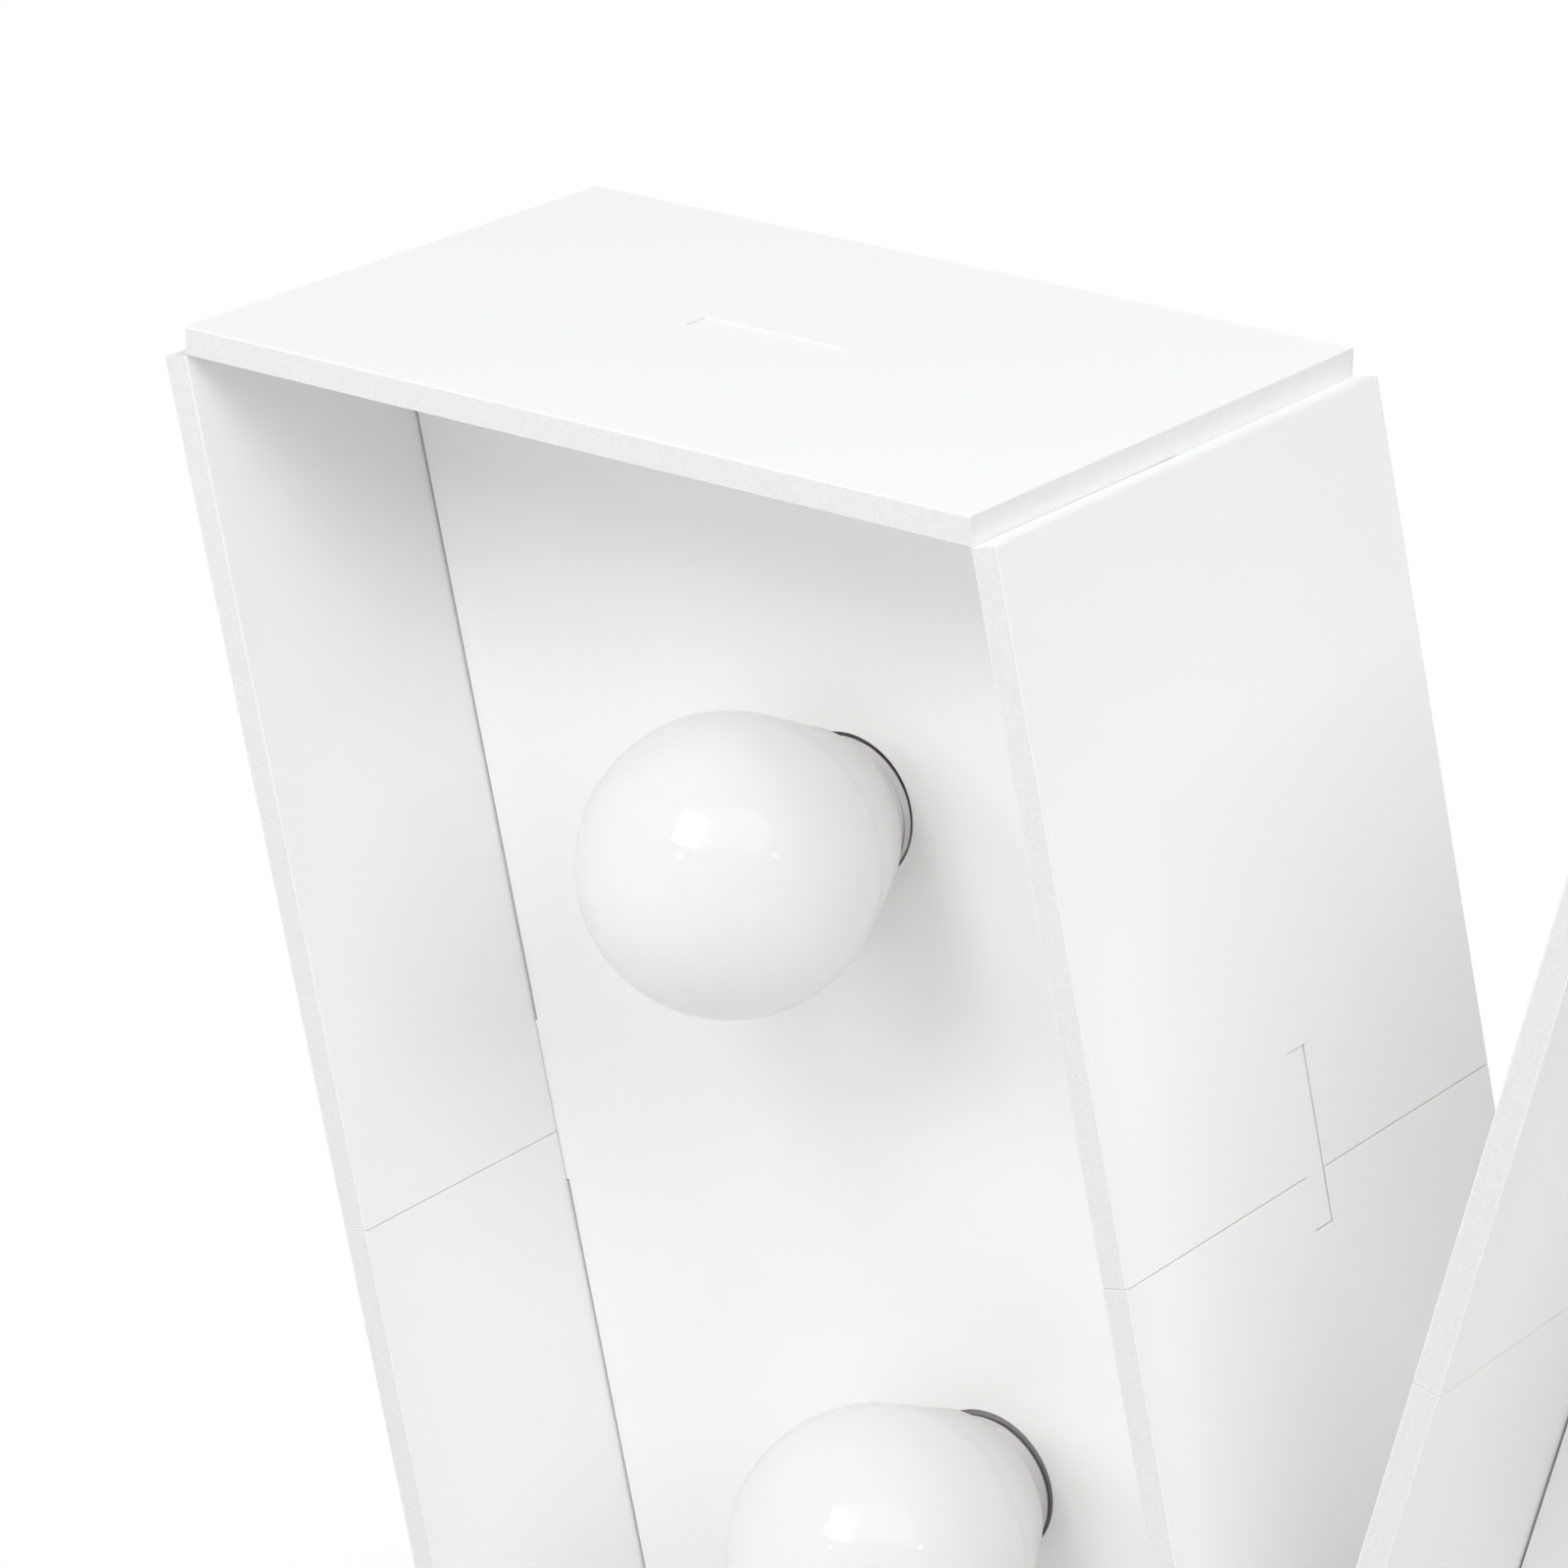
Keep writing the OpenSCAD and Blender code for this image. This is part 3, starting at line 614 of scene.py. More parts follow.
def opal_finish(colours):
    """Opal polycarbonate, blown and polished: glossy and milky."""
    finish, tree, shader, where = new_finish("opal_polycarbonate")
    flow, tone = clouded(tree, where, size=20, detail=2.0, tone=colours.opal, share=0.01)
    film = add_node(tree, "ShaderNodeMapRange", inputs={"Value": flow, "To Min": 0.03, "To Max": 0.06})
    set_inputs(tree, shader, {"Base Color": tone, "Roughness": film.outputs["Result"], "IOR": 1.585,
                              "Specular IOR Level": 1.0})
    make_milky(tree, shader, tone, share=0.6)
    return finish


def skirt_finish(colours):
    """White moulded polybutylene of a bulb's skirt: half gloss and milky, with faint flow clouds."""
    finish, tree, shader, where = new_finish("skirt_polybutylene")
    flow, tone = clouded(tree, where, size=12, detail=3.0, tone=colours.skirt, share=0.02)
    dull = add_node(tree, "ShaderNodeMapRange", inputs={"Value": flow, "To Min": 0.26, "To Max": 0.38})
    set_inputs(tree, shader, {"Base Color": tone, "Roughness": dull.outputs["Result"], "IOR": 1.5})
    make_milky(tree, shader, tone, share=0.85)
    return finish


def moulded_finish(name, tone, rough, grain, depth):
    """Moulded plastic: an even tone with faint flow clouds, and a spark-eroded grain.

    The grain's size and depth are in millimetres.
    """
    finish, tree, shader, where = new_finish(name)
    flow, tint = clouded(tree, where, size=12, detail=3.0, tone=tone, share=0.05)
    dull = add_node(tree, "ShaderNodeMapRange", inputs={
        "Value": flow, "To Min": rough - 0.06, "To Max": rough + 0.06})
    spark = grained(tree, where, size=grain, detail=3.0, strength=0.3, depth=depth)
    set_inputs(tree, shader, {"Base Color": tint, "Roughness": dull.outputs["Result"],
                              "Normal": spark, "IOR": 1.5})
    return finish


def metal_finish(name, tone, rough, mark):
    """Plated or bare metal: clouded gloss, and fine marks of pressing or turning, sized in millimetres."""
    finish, tree, shader, where = new_finish(name)
    cloud, tint = clouded(tree, where, size=5, detail=4.0, tone=tone, share=0.12)
    dull = add_node(tree, "ShaderNodeMapRange", inputs={
        "Value": cloud, "To Min": rough - 0.05, "To Max": rough + 0.08})
    marks = grained(tree, where, size=mark, detail=2.0, strength=0.08, depth=0.05)
    set_inputs(tree, shader, {"Base Color": tint, "Roughness": dull.outputs["Result"],
                              "Normal": marks, "Metallic": 1.0})
    return finish


def edge_rows(edge, sheet):
    """Insets and heights of an edge that is rounded at both skins: e (1 - sin a) and e (1 - cos a).

    a makes a quarter turn at each skin.
    """
    a = np.linspace(0, np.pi / 2, EDGE_STEPS)
    inset = edge * (1 - np.sin(a))
    lift = edge * (1 - np.cos(a))
    return np.concatenate([inset, inset[::-1]]), np.concatenate([lift, sheet - lift[::-1]])


def sheet_rim(outline, share, core, radius, edge, sheet):
    """Rim of a sheet from skin to skin, and the finish of each of its faces.

    Each side is drawn in by its share of the edge's softening. Its middle has the core finish given for it,
    and the softened rows on either side take the brighter edge tone, a painted highlight.
    """
    inset, heights = edge_rows(edge, sheet)
    grid = stacked([rounded(moved_in(outline, share * i), radius) for i in inset], heights)
    # The softened rows are painted brighter than the cut, as a painted highlight along the rims
    finish = np.full((grid.shape[0] - 1, grid.shape[1] - 1), PAINTED_LIGHT)
    finish[EDGE_STEPS - 1] = np.repeat(core, finish.shape[1] // len(core))
    return grid, finish.reshape(-1)


def hole_rim(loops, heights):
    """Rim of a hole in a sheet, with the finish of its faces."""
    grid = stacked(loops, heights)
    return grid, np.full((grid.shape[0] - 1) * (grid.shape[1] - 1), SKIN)


def plate(grids):
    """Points and faces of a plate: one grid round its outline and one round each hole, and two skins.

    A grid runs from the lower skin to the upper one. Triangles fill the skins between the grids.
    """
    points, quads = joined(grids)
    first = np.cumsum([0] + [grid[..., 0].size for grid in grids])
    lower = np.concatenate([start + np.arange(grid.shape[1] - 1) for start, grid in zip(first, grids)])
    lift = np.concatenate([np.full(grid.shape[1] - 1, grid[:-1, :, 0].size) for grid in grids])
    fill = np.array(tessellate_polygon([grid[0, :-1].tolist() for grid in grids]))
    return points, quads.tolist() + lower[fill].tolist() + (lower + lift)[fill].tolist()


def add_sheet(context, node, rims, origin, axes, sign=1):
    """Adds a foam-board panel in place of its CAD node, as a mirror image where the sign is -1."""
    points, faces = plate([grid for grid, finish in rims])
    finish = np.full(len(faces), SKIN)
    edges = np.concatenate([finish for grid, finish in rims])
    finish[:len(edges)] = edges
    points = placed(points, origin, *axes) * (sign, 1, 1)
    add_piece("panel_" + node, points, faces, foam_finishes(context), "letter", "foam_board", [node],
              finish)


def notched(sizes, run, top_cut, bottom_cut):
    """Outline of a wall panel in (s down the wall, y), with a slot of each given depth at its ends.

    The slots' inner corners run on by the overcut of the knife. Each side has its share of the softening:
    1 for a free edge, BUTTED for an end and 0 inside a slot.
    """
    half, y = sizes.depth / 2, sizes.slot_half
    over, knife = sizes.overcut, sizes.knife
    inner = run - bottom_cut
    bottom = [(run, -y), (inner, -y), (inner, y + over), (inner + knife, y), (run, y)]
    top = [(0, y), (top_cut + over, y), (top_cut, y - knife), (top_cut, -y), (0, -y)]
    in_slot = [0, 0, 0, 0, BUTTED]
    corners = [(0, -half), (run, -half)] + (bottom if bottom_cut else [])
    share = [1, BUTTED] + (in_slot if bottom_cut else [])
    corners += [(run, half), (0, half)] + (top if top_cut else [])
    share += [1, BUTTED] + (in_slot if top_cut else [])
    return np.array(corners, float), np.array(share, float)


class LETTER_OT_wall_panels(bpy.types.Operator):
    """Walls of the letter: foam-board panels with softened cut edges and slots for the board's tabs"""

    bl_idname = "letter.wall_panels"
    bl_label = "Wall panels"

    def execute(self, context):
        sizes = settings(context, "sheet")
        for side, sign in zip(SIDES, (1, -1)):
            self.wall(context, "outer_wall_" + side, sign, TOP_LOW.x, -1, sizes.tight, outer_bounds(sizes))
            self.wall(context, "inner_wall_" + side, sign, TOP_HIGH.x, 1, sizes.joint, inner_bounds(sizes))
        return {"FINISHED"}

    def wall(self, context, node, sign, start_x, outwards, joint, bounds):
        """Panels of a wall between distances from its top: s runs down the wall and w out of the letter."""
        sizes = settings(context, "sheet")
        down = np.array([math.sin(sizes.lean), 0, -math.cos(sizes.lean)])
        out = outwards * np.array([math.cos(sizes.lean), 0, math.sin(sizes.lean)])
        above = sizes.tab_above + sizes.clear - joint
        below = sizes.tab - sizes.tab_above + sizes.clear
        last = len(bounds) - 1
        for i in range(1, last + 1):
            top = bounds[i - 1]
            bottom = bounds[i] - joint * (i < last)
            outline, share = notched(sizes, bottom - top, below * (i > 1), above * (i < last))
            radius = np.where((share > 0) & (np.roll(share, 1) > 0), sizes.corner, CRISP)
            core = np.where(share == 1, CORE, SKIN)
            rim = sheet_rim(outline, share, core, radius, sizes.edge, sizes.sheet)
            origin = (start_x, 0, TOP_LOW.z) + top * down
            add_sheet(context, f"{node}_{i}", [rim], origin, (down, (0, 1, 0), out), sign)


def outer_bounds(sizes):
    """Distances of the outer walls' top, seams and end from their top."""
    run = (TOP_LOW.z - BOTTOM_HIGH.z) / math.cos(sizes.lean)
    seams = np.linspace(0, run, OUTER_PANELS + 1)
    return [*seams[:-1], run - sizes.seam]


def inner_bounds(sizes):
    """Distances of the inner walls' top, seam and end from their top."""
    run = (-TOP_HIGH.x - sizes.sheet * math.cos(sizes.lean) - sizes.seam) / math.sin(sizes.lean)
    return [0, sizes.inner_seam, run]


class LETTER_OT_end_panels(bpy.types.Operator):
    """Top and bottom panels of the letter: foam board with one slot each, cut a little past its corners"""

    bl_idname = "letter.end_panels"
    bl_label = "End panels"

    def execute(self, context):
        sizes = settings(context, "sheet")
        x, y = sizes.tab / 2 + sizes.clear, sizes.slot_half
        over, knife = sizes.overcut, sizes.knife
        # The knife ran on past the slot's front left and its back right corner
        slot = np.array([(-x, -y + knife), (-x - over, -y), (x, -y),
                         (x, y - knife), (x + over, y), (-x, y)])
        for node in ("top_panel_left", "top_panel_right", "bottom_panel"):
            low, high = (np.array(corner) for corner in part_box(node))
            half = (high - low) / 2
            outline = half[:2] * [(-1, -1), (1, -1), (1, 1), (-1, 1)]
            share = np.array([1, 0, 1, 0])
            # The panels' cut ends take the brighter edge tone: painted light that makes them lighter than
            # the front and back cut edges
            core = np.where(share == 1, CORE, PAINTED_LIGHT)
            rim = sheet_rim(outline, share, core, CRISP, sizes.edge, sizes.sheet)
            hole = hole_rim([slot, slot], [0, sizes.sheet])
            middle = (low + high) / 2
            add_sheet(context, node, [rim, hole], (middle[0], middle[1], low[2]), np.eye(3))
        return {"FINISHED"}


class LETTER_OT_bulb_board(bpy.types.Operator):
    """Bulb board: one sheet with a hole for each bulb, and tabs that reach into the panels round it"""

    bl_idname = "letter.bulb_board"
    bl_label = "Bulb board"

    def execute(self, context):
        sizes = settings(context, "sheet")
        outline = self.outline(sizes)
        inset, heights = edge_rows(sizes.board_edge, sizes.sheet)
        sides = np.ones(len(outline))
        rims = [sheet_rim(outline, sides, SKIN * sides, CRISP, sizes.board_edge, sizes.sheet)]
        for n in BULBS:
            x, z = bulb_place(n)
            rims.append(hole_rim([circle(x, z, sizes.hole + i, ROUND) for i in inset], heights))
        add_sheet(context, "bulb_board", rims, (0, BOARD_LOW.y, 0), ((1, 0, 0), (0, 0, 1), (0, 1, 0)))
        return {"FINISHED"}

    def outline(self, sizes):
        """Outline in (x, z), anticlockwise: the right half from the bottom, then its mirror image.

        The point at w beside a wall that starts at x, and d down it, is
        (x - w cos L - d sin L, top + w sin L - d cos L).
        """
        c, s = math.cos(sizes.lean), math.sin(sizes.lean)
        top, base = TOP_LOW.z, BOTTOM_HIGH.z
        outer, notch = -TOP_LOW.x, -TOP_HIGH.x
        gap, inset = sizes.board_gap, sizes.board_gap / c
        reach = BOARD_HIGH.z - top
        half_tab = sizes.tab / 2
        arm_middle = (outer + notch) / 2

        def tab(x, seam, near, far):
            ends = seam - sizes.tab_above + sizes.tab * np.array([1, 1, 0, 0])
            return [(x - w * c - d * s, top + w * s - d * c) for w, d in zip((near, far, far, near), ends)]

        foot = inner_bounds(sizes)[-1]
        right = [(half_tab, base - reach), (half_tab, base), (-BOTTOM_LOW.x - inset, base)]
        for seam in reversed(outer_bounds(sizes)[1:-1]):
            right += tab(outer, seam, gap, -reach)
        right += [(outer - inset, top), (arm_middle + half_tab, top), (arm_middle + half_tab, top + reach),
                  (arm_middle - half_tab, top + reach), (arm_middle - half_tab, top), (notch + inset, top)]
        right += tab(notch, sizes.inner_seam, -gap, reach)[::-1]
        right.append((notch - foot * s + inset, top - foot * c))
        right = np.array(right)
        return np.concatenate([right, right[::-1] * (-1, 1)])


class LETTER_OT_globes(bpy.types.Operator):
    """Globes and skirts of the bulbs"""

    bl_idname = "letter.globes"
    bl_label = "Globes and skirts"

    def execute(self, context):
        sizes = settings(context, "bulb")
        colours = settings(context, "colours")
        opal = opal_finish(colours)
        plastic = skirt_finish(colours)
        globe = turned(self.globe_profile(sizes), ROUND)
        skirt = turned(self.skirt_profile(sizes), ROUND)
        for n in BULBS:
            body = f"bulb_{n}"
            add_grids(f"opal_globe_{n}", [at_bulb(globe, n)], [opal], body, "opal_globe", [f"globe_{n}"])
            add_grids(f"skirt_{n}", [at_bulb(skirt, n)], [plastic], body, "bulb_skirt", [f"bulb_skirt_{n}"])
        return {"FINISHED"}

    def globe_profile(self, sizes):
        """Sphere from its pole almost to the skirt, and back inside by the wall."""
        radius = half_size(GLOBE_LOW, GLOBE_HIGH)[0]
        centre = BOARD_LOW.y - GLOBE_LOW.y - radius
        end = BOARD_LOW.y - GLOBE_HIGH.y + sizes.seam
        inner = radius - sizes.wall
        a = np.linspace(0, math.acos((end - centre) / radius), ARC)
        b = np.linspace(math.acos((end - centre) / inner), 0, ARC)
        outside = np.stack([radius * np.sin(a), centre + radius * np.cos(a)], 1)
        inside = np.stack([inner * np.sin(b), centre + inner * np.cos(b)], 1)
        return np.concatenate([outside, inside])

    def skirt_profile(self, sizes):
        """Cone from the globe's edge to the rim, with a rounded lip, and a bore for the cap."""
        top = BOARD_LOW.y - SKIRT_LOW.y
        rim = BOARD_LOW.y - SKIRT_HIGH.y
        wide = half_size(SKIRT_LOW, SKIRT_HIGH)[0]
        bore = half_size(CAP_LOW, CAP_HIGH)[0] + sizes.play
        floor = top - sizes.plate
        corners = [(0, top), (wide, top), (sizes.rim, rim), (bore, rim), (bore, floor), (0, floor)]
        radius = [0, CRISP, sizes.lip, sizes.soft, sizes.soft, 0]
        return rounded(corners, radius, closed=False)


class LETTER_OT_screw_caps(bpy.types.Operator):
    """Screw caps of the bulbs, with a rolled right-hand thread"""

    bl_idname = "letter.screw_caps"
    bl_label = "Screw caps"

    def execute(self, context):
        sizes = settings(context, "bulb")
        colours = settings(context, "colours")
        glass = moulded_finish("black_glass_insulator", colours.vitrite, rough=0.2, grain=1.0, depth=0.01)
        finishes = [metal_finish("nickel_plated_brass", colours.nickel, rough=0.22, mark=0.3), glass,
                    metal_finish("soldered_tip", colours.zinc, rough=0.35, mark=0.5)]
        for n in BULBS:
            surface, face_finish = self.cap(sizes, THREAD_START * n)
            add_grids(f"threaded_cap_{n}", [at_bulb(surface, n)], finishes, f"cap_{n}", "nickel_cap",
                      [f"screw_cap_{n}"], face_finish)
        return {"FINISHED"}

    def cap(self, sizes, start):
        """Shell of the cap and the finish of its faces: a thread below a collar, and the insulator and tip.

        The thread is r = R - t (1 - cos 2 pi p) / 2, with p = depth / pitch + (a + start) / 2 pi.
        """
        crest = half_size(CAP_LOW, CAP_HIGH)[0]
        seat = BOARD_LOW.y - CAP_LOW.y
        tip = BOARD_LOW.y - CAP_HIGH.y
        cone_end = tip + sizes.tip_height
        thread_end = cone_end + sizes.insulator
        collar_end = thread_end + sizes.turns * sizes.pitch
        collar = crest - sizes.collar_in
        above = [(0, seat), (collar, seat), (collar, collar_end + sizes.curl)]
        z = np.linspace(collar_end, thread_end, sizes.turns * THREAD_STEPS + 1)
        below = [(sizes.tip + sizes.ledge, cone_end), (sizes.tip, cone_end),
                 (sizes.tip, tip + sizes.tip_bevel), (sizes.tip - sizes.tip_bevel, tip), (0, tip)]
        profile = np.concatenate([above, np.stack([np.full_like(z, crest), z], 1), below])
        a = np.linspace(0, 2 * np.pi, ROUND + 1)
        depth = (collar_end - z)[:, None]
        set_in = np.clip(depth / sizes.run_in, 0, 1)
        wave = sizes.thread * (1 - np.cos(2 * np.pi * depth / sizes.pitch + a + start)) / 2
        cut = np.zeros((len(profile), ROUND + 1))
        cut[len(above):-len(below)] = (1 - set_in) * sizes.collar_in + set_in * wave
        row_finish = np.full(len(profile) - 1, NICKEL)
        row_finish[-len(below):] = [GLASS, SOLDER, SOLDER, SOLDER, SOLDER]
        return turned(profile, ROUND, cut), np.repeat(row_finish, ROUND)


class LETTER_OT_lamp_holders(bpy.types.Operator):
    """Lamp holders behind the bulb board, with a fluted barrel"""

    bl_idname = "letter.lamp_holders"
    bl_label = "Lamp holders"

    def execute(self, context):
        colours = settings(context, "colours")
        finish = moulded_finish("holder_urea", colours.holder, rough=0.34, grain=0.8, depth=0.012)
        surface = self.holder(settings(context, "holder"))
        for n in BULBS:
            add_grids(f"holder_{n}", [at_bulb(surface, n)], [finish], "letter", "holder_plastic",
                      [f"lamp_holder_{n}"])
        return {"FINISHED"}

    def holder(self, sizes):
        """Pocket, bore, flange, barrel and nose in one profile, with flutes r = R - f max(cos n a, 0)^p."""
        back = BOARD_LOW.y - HOLDER_LOW.y
        end = BOARD_LOW.y - HOLDER_HIGH.y
        flange = half_size(HOLDER_LOW, HOLDER_HIGH)[0]
        flange_end = back - sizes.flange
        bore_end = back - sizes.bore_depth
        pocket_end = bore_end - sizes.pocket_depth
        shoulder = end + sizes.nose_length
        corners = [(0, pocket_end), (sizes.pocket, pocket_end), (sizes.pocket, bore_end),
                   (sizes.bore, bore_end), (sizes.bore, back), (flange, back), (flange, flange_end),
                   (sizes.barrel, flange_end), (sizes.barrel, shoulder),
                   (sizes.nose, shoulder - sizes.slope), (sizes.nose, end), (0, end)]
        profile = refined(rounded(corners, MM * np.array(HOLDER_EDGES), closed=False), sizes.flute)
        r, h = profile.T
        fade = np.clip((flange_end - sizes.flute_end - h) / sizes.flute_run, 0, 1)
        fade *= np.clip((h - shoulder - sizes.flute_end) / sizes.flute_run, 0, 1)
        fade *= r > sizes.nose
        a = np.linspace(0, 2 * np.pi, ROUND + 1)
        wave = np.clip(np.cos(sizes.flutes * a), 0, 1) ** FLUTE_POWER
        return turned(profile, ROUND, sizes.flute * fade[:, None] * wave)


class LETTER_OT_wiring(bpy.types.Operator):
    """Pairs of insulated wires on the back of the bulb board"""

    bl_idname = "letter.wiring"
    bl_label = "Wiring"

    def execute(self, context):
        sizes = settings(context, "wires")
        colours = settings(context, "colours")
        tones = {"wire_pvc": colours.wire, "wire_pvc_marked": colours.wire_marked}
        finishes = [moulded_finish(name, tone, rough=0.45, grain=1.5, depth=0.01)
                    for name, tone in tones.items()]
        reach = settings(context, "holder").bore + sizes.start
        runs = [(*map(bulb_place, pair), reach, reach) for pair in JUMPERS]
        box_middle = (0, (BOX_LOW.z + BOX_HIGH.z) / 2)
        runs.append((bulb_place(FEED), box_middle, reach, BOX_HIGH.x - sizes.feed_in))
        tubes = [self.wire(sizes, np.array(p), np.array(q), start, stop, lane, k)
                 for k, (p, q, start, stop) in enumerate(runs) for lane in (-1, 1)]
        quads = (len(tubes[0]) - 1) * SMALL_ROUND
        face_finish = np.repeat(np.arange(len(tubes)) % 2, quads)
        add_grids("insulated_wires", tubes, finishes, "letter", "wire_insulation", ["wiring"], face_finish,
                  even=False)
        return {"FINISHED"}

    def wire(self, sizes, p, q, start, stop, lane, k):
        """Circle carried along a line and closed at both ends.

        The line wanders as w sqrt(sin pi s) sin(u s + v k + lane).
        """
        span = np.linalg.norm(q - p)
        ahead = (q - p) / span
        across = np.array([-ahead[1], ahead[0]])
        s = np.linspace(0, 1, ARC)
        wander = np.sqrt(np.abs(np.sin(np.pi * s))) * np.sin(WIRE_WAVES * s + WIRE_TURN * k + lane)
        offset = lane * sizes.spacing / 2 + sizes.wander * wander
        run = start + (span - start - stop) * s
        radius = np.concatenate([[0], np.full(ARC, sizes.radius), [0]])[:, None]
        run, offset = (np.concatenate([v[:1], v, v[-1:]])[:, None] for v in (run, offset))
        a = np.linspace(0, 2 * np.pi, SMALL_ROUND + 1)
        side = offset + radius * np.cos(a)
        lift = BOARD_HIGH.y + sizes.rest + sizes.radius + radius * np.sin(a)
        x, z = (p[i] + run * ahead[i] + side * across[i] for i in (0, 1))
        return np.stack([x, lift, z], -1)


def add_moulding(name, grids, finish, body, slot, node):
    """Adds a moulded piece that is closed like a plate."""
    add_piece(name, *plate(grids), [finish], body, slot, [node])


class LETTER_OT_control_box(bpy.types.Operator):
    """Control box on the back of the bulb board, with its lid and cord gland"""

    bl_idname = "letter.control_box"
    bl_label = "Control box"

    def execute(self, context):
        sizes = settings(context, "box")
        colours = settings(context, "colours")
        finish = moulded_finish("box_abs", colours.box, rough=0.5, grain=0.6, depth=0.03)
        black = moulded_finish("gland_nylon", colours.black, rough=0.42, grain=0.5, depth=0.02)
        self.box(sizes, finish)
        self.lid(sizes, settings(context, "switch"), finish)
        self.gland(sizes, black)
        return {"FINISHED"}

    def box(self, sizes, finish):
        """Tray with rounded upright edges: loops up the outside, over the rim and down the inside."""
        half_x, half_y = half_size(BOX_LOW, BOX_HIGH)
        depth = BOX_HIGH.y - BOX_LOW.y
        wall, soft = sizes.wall, sizes.soft
        insets = [soft, 0, 0, soft, wall - soft, wall, wall]
        heights = [0, soft, depth - soft, depth, depth, depth - soft, sizes.floor]
        loops = [rectangle(half_x - i, half_y - i, sizes.corner - i) for i in insets]
        rim = at_box(stacked(loops, heights))
        add_moulding("moulded_box", [rim], finish, "letter", "box_plastic", "control_box")

    def lid(self, sizes, switch, finish):
        """Lid with a cushioned edge, and openings for the switch, the gland and four screws."""
        half_x, half_y = half_size(LID_LOW, LID_HIGH)
        low, high = LID_LOW.y - BOX_LOW.y, LID_HIGH.y - BOX_LOW.y
        a = np.linspace(np.pi / 2, 0, EDGE_STEPS)
        insets = [sizes.draft, *(sizes.cushion * (1 - np.sin(a)))]
        heights = [low, *(high - sizes.cushion * (1 - np.cos(a)))]
        rims = [stacked([rectangle(half_x - i, half_y - i, sizes.corner - i) for i in insets], heights)]
        edge = switch.lip - sizes.fit
        switch_x, switch_y = half_size(SWITCH_LOW, SWITCH_HIGH)
        gland_x = (GLAND_LOW.x + GLAND_HIGH.x) / 2
        holes = [rectangle(switch_x - edge, switch_y - edge, switch.corner),
                 circle(gland_x, 0, sizes.gland_neck + sizes.fit, SMALL_ROUND)]
        x, y = half_x - sizes.boss_inset, half_y - sizes.boss_inset
        holes += [circle(i * x, j * y, sizes.screw, SMALL_ROUND) for i in (-1, 1) for j in (-1, 1)]
        rims += [stacked([hole, hole], [low, high]) for hole in holes]
        rims = [at_box(rim) for rim in rims]
        add_moulding("moulded_lid", rims, finish, "letter", "box_plastic", "control_lid")

    def gland(self, sizes, finish):
        """Cord gland: nut inside the lid, six-sided nut outside, dome with ribs r = R - k (1 - cos n a)."""
        reach = half_size(GLAND_LOW, GLAND_HIGH)[0]
        end = GLAND_HIGH.y - GLAND_LOW.y
        lid_in, lid_out = LID_LOW.y - GLAND_LOW.y, LID_HIGH.y - GLAND_LOW.y
        bore, neck = sizes.gland_bore, sizes.gland_neck
        dome = reach - sizes.dome_in
        nut_end = lid_out + sizes.nut
        corners = [(bore, 0), (reach, 0), (reach, lid_in), (neck, lid_in), (neck, lid_out),
                   (reach, lid_out), (reach, nut_end), (dome, nut_end), (dome, end - sizes.dome_bevel),
                   (neck, end), (bore, end)]
        profile = rounded(corners, MM * np.array(GLAND_EDGES))
        profile = np.concatenate([profile, profile[:1]])
        r, h = profile.T[..., None]
        a = np.linspace(0, 2 * np.pi, ROUND + 1)
        side = (a + np.pi / 6) % (np.pi / 3) - np.pi / 6
        flat = reach * (1 - math.cos(np.pi / 6) / np.cos(side))
        rib = sizes.rib * (1 - np.cos(sizes.ribs * a))
        on_dome = (h > nut_end) & (r > neck)
        points = turned(profile, ROUND, (r > dome) * flat + on_dome * rib)
        middle = (GLAND_LOW + GLAND_HIGH) / 2
        points = placed(points, (middle.x, GLAND_LOW.y, middle.z), (1, 0, 0), (0, 0, -1), (0, 1, 0))
        add_grids("gland_body", [points], [finish], "letter", "black_plastic", ["cord_gland"])


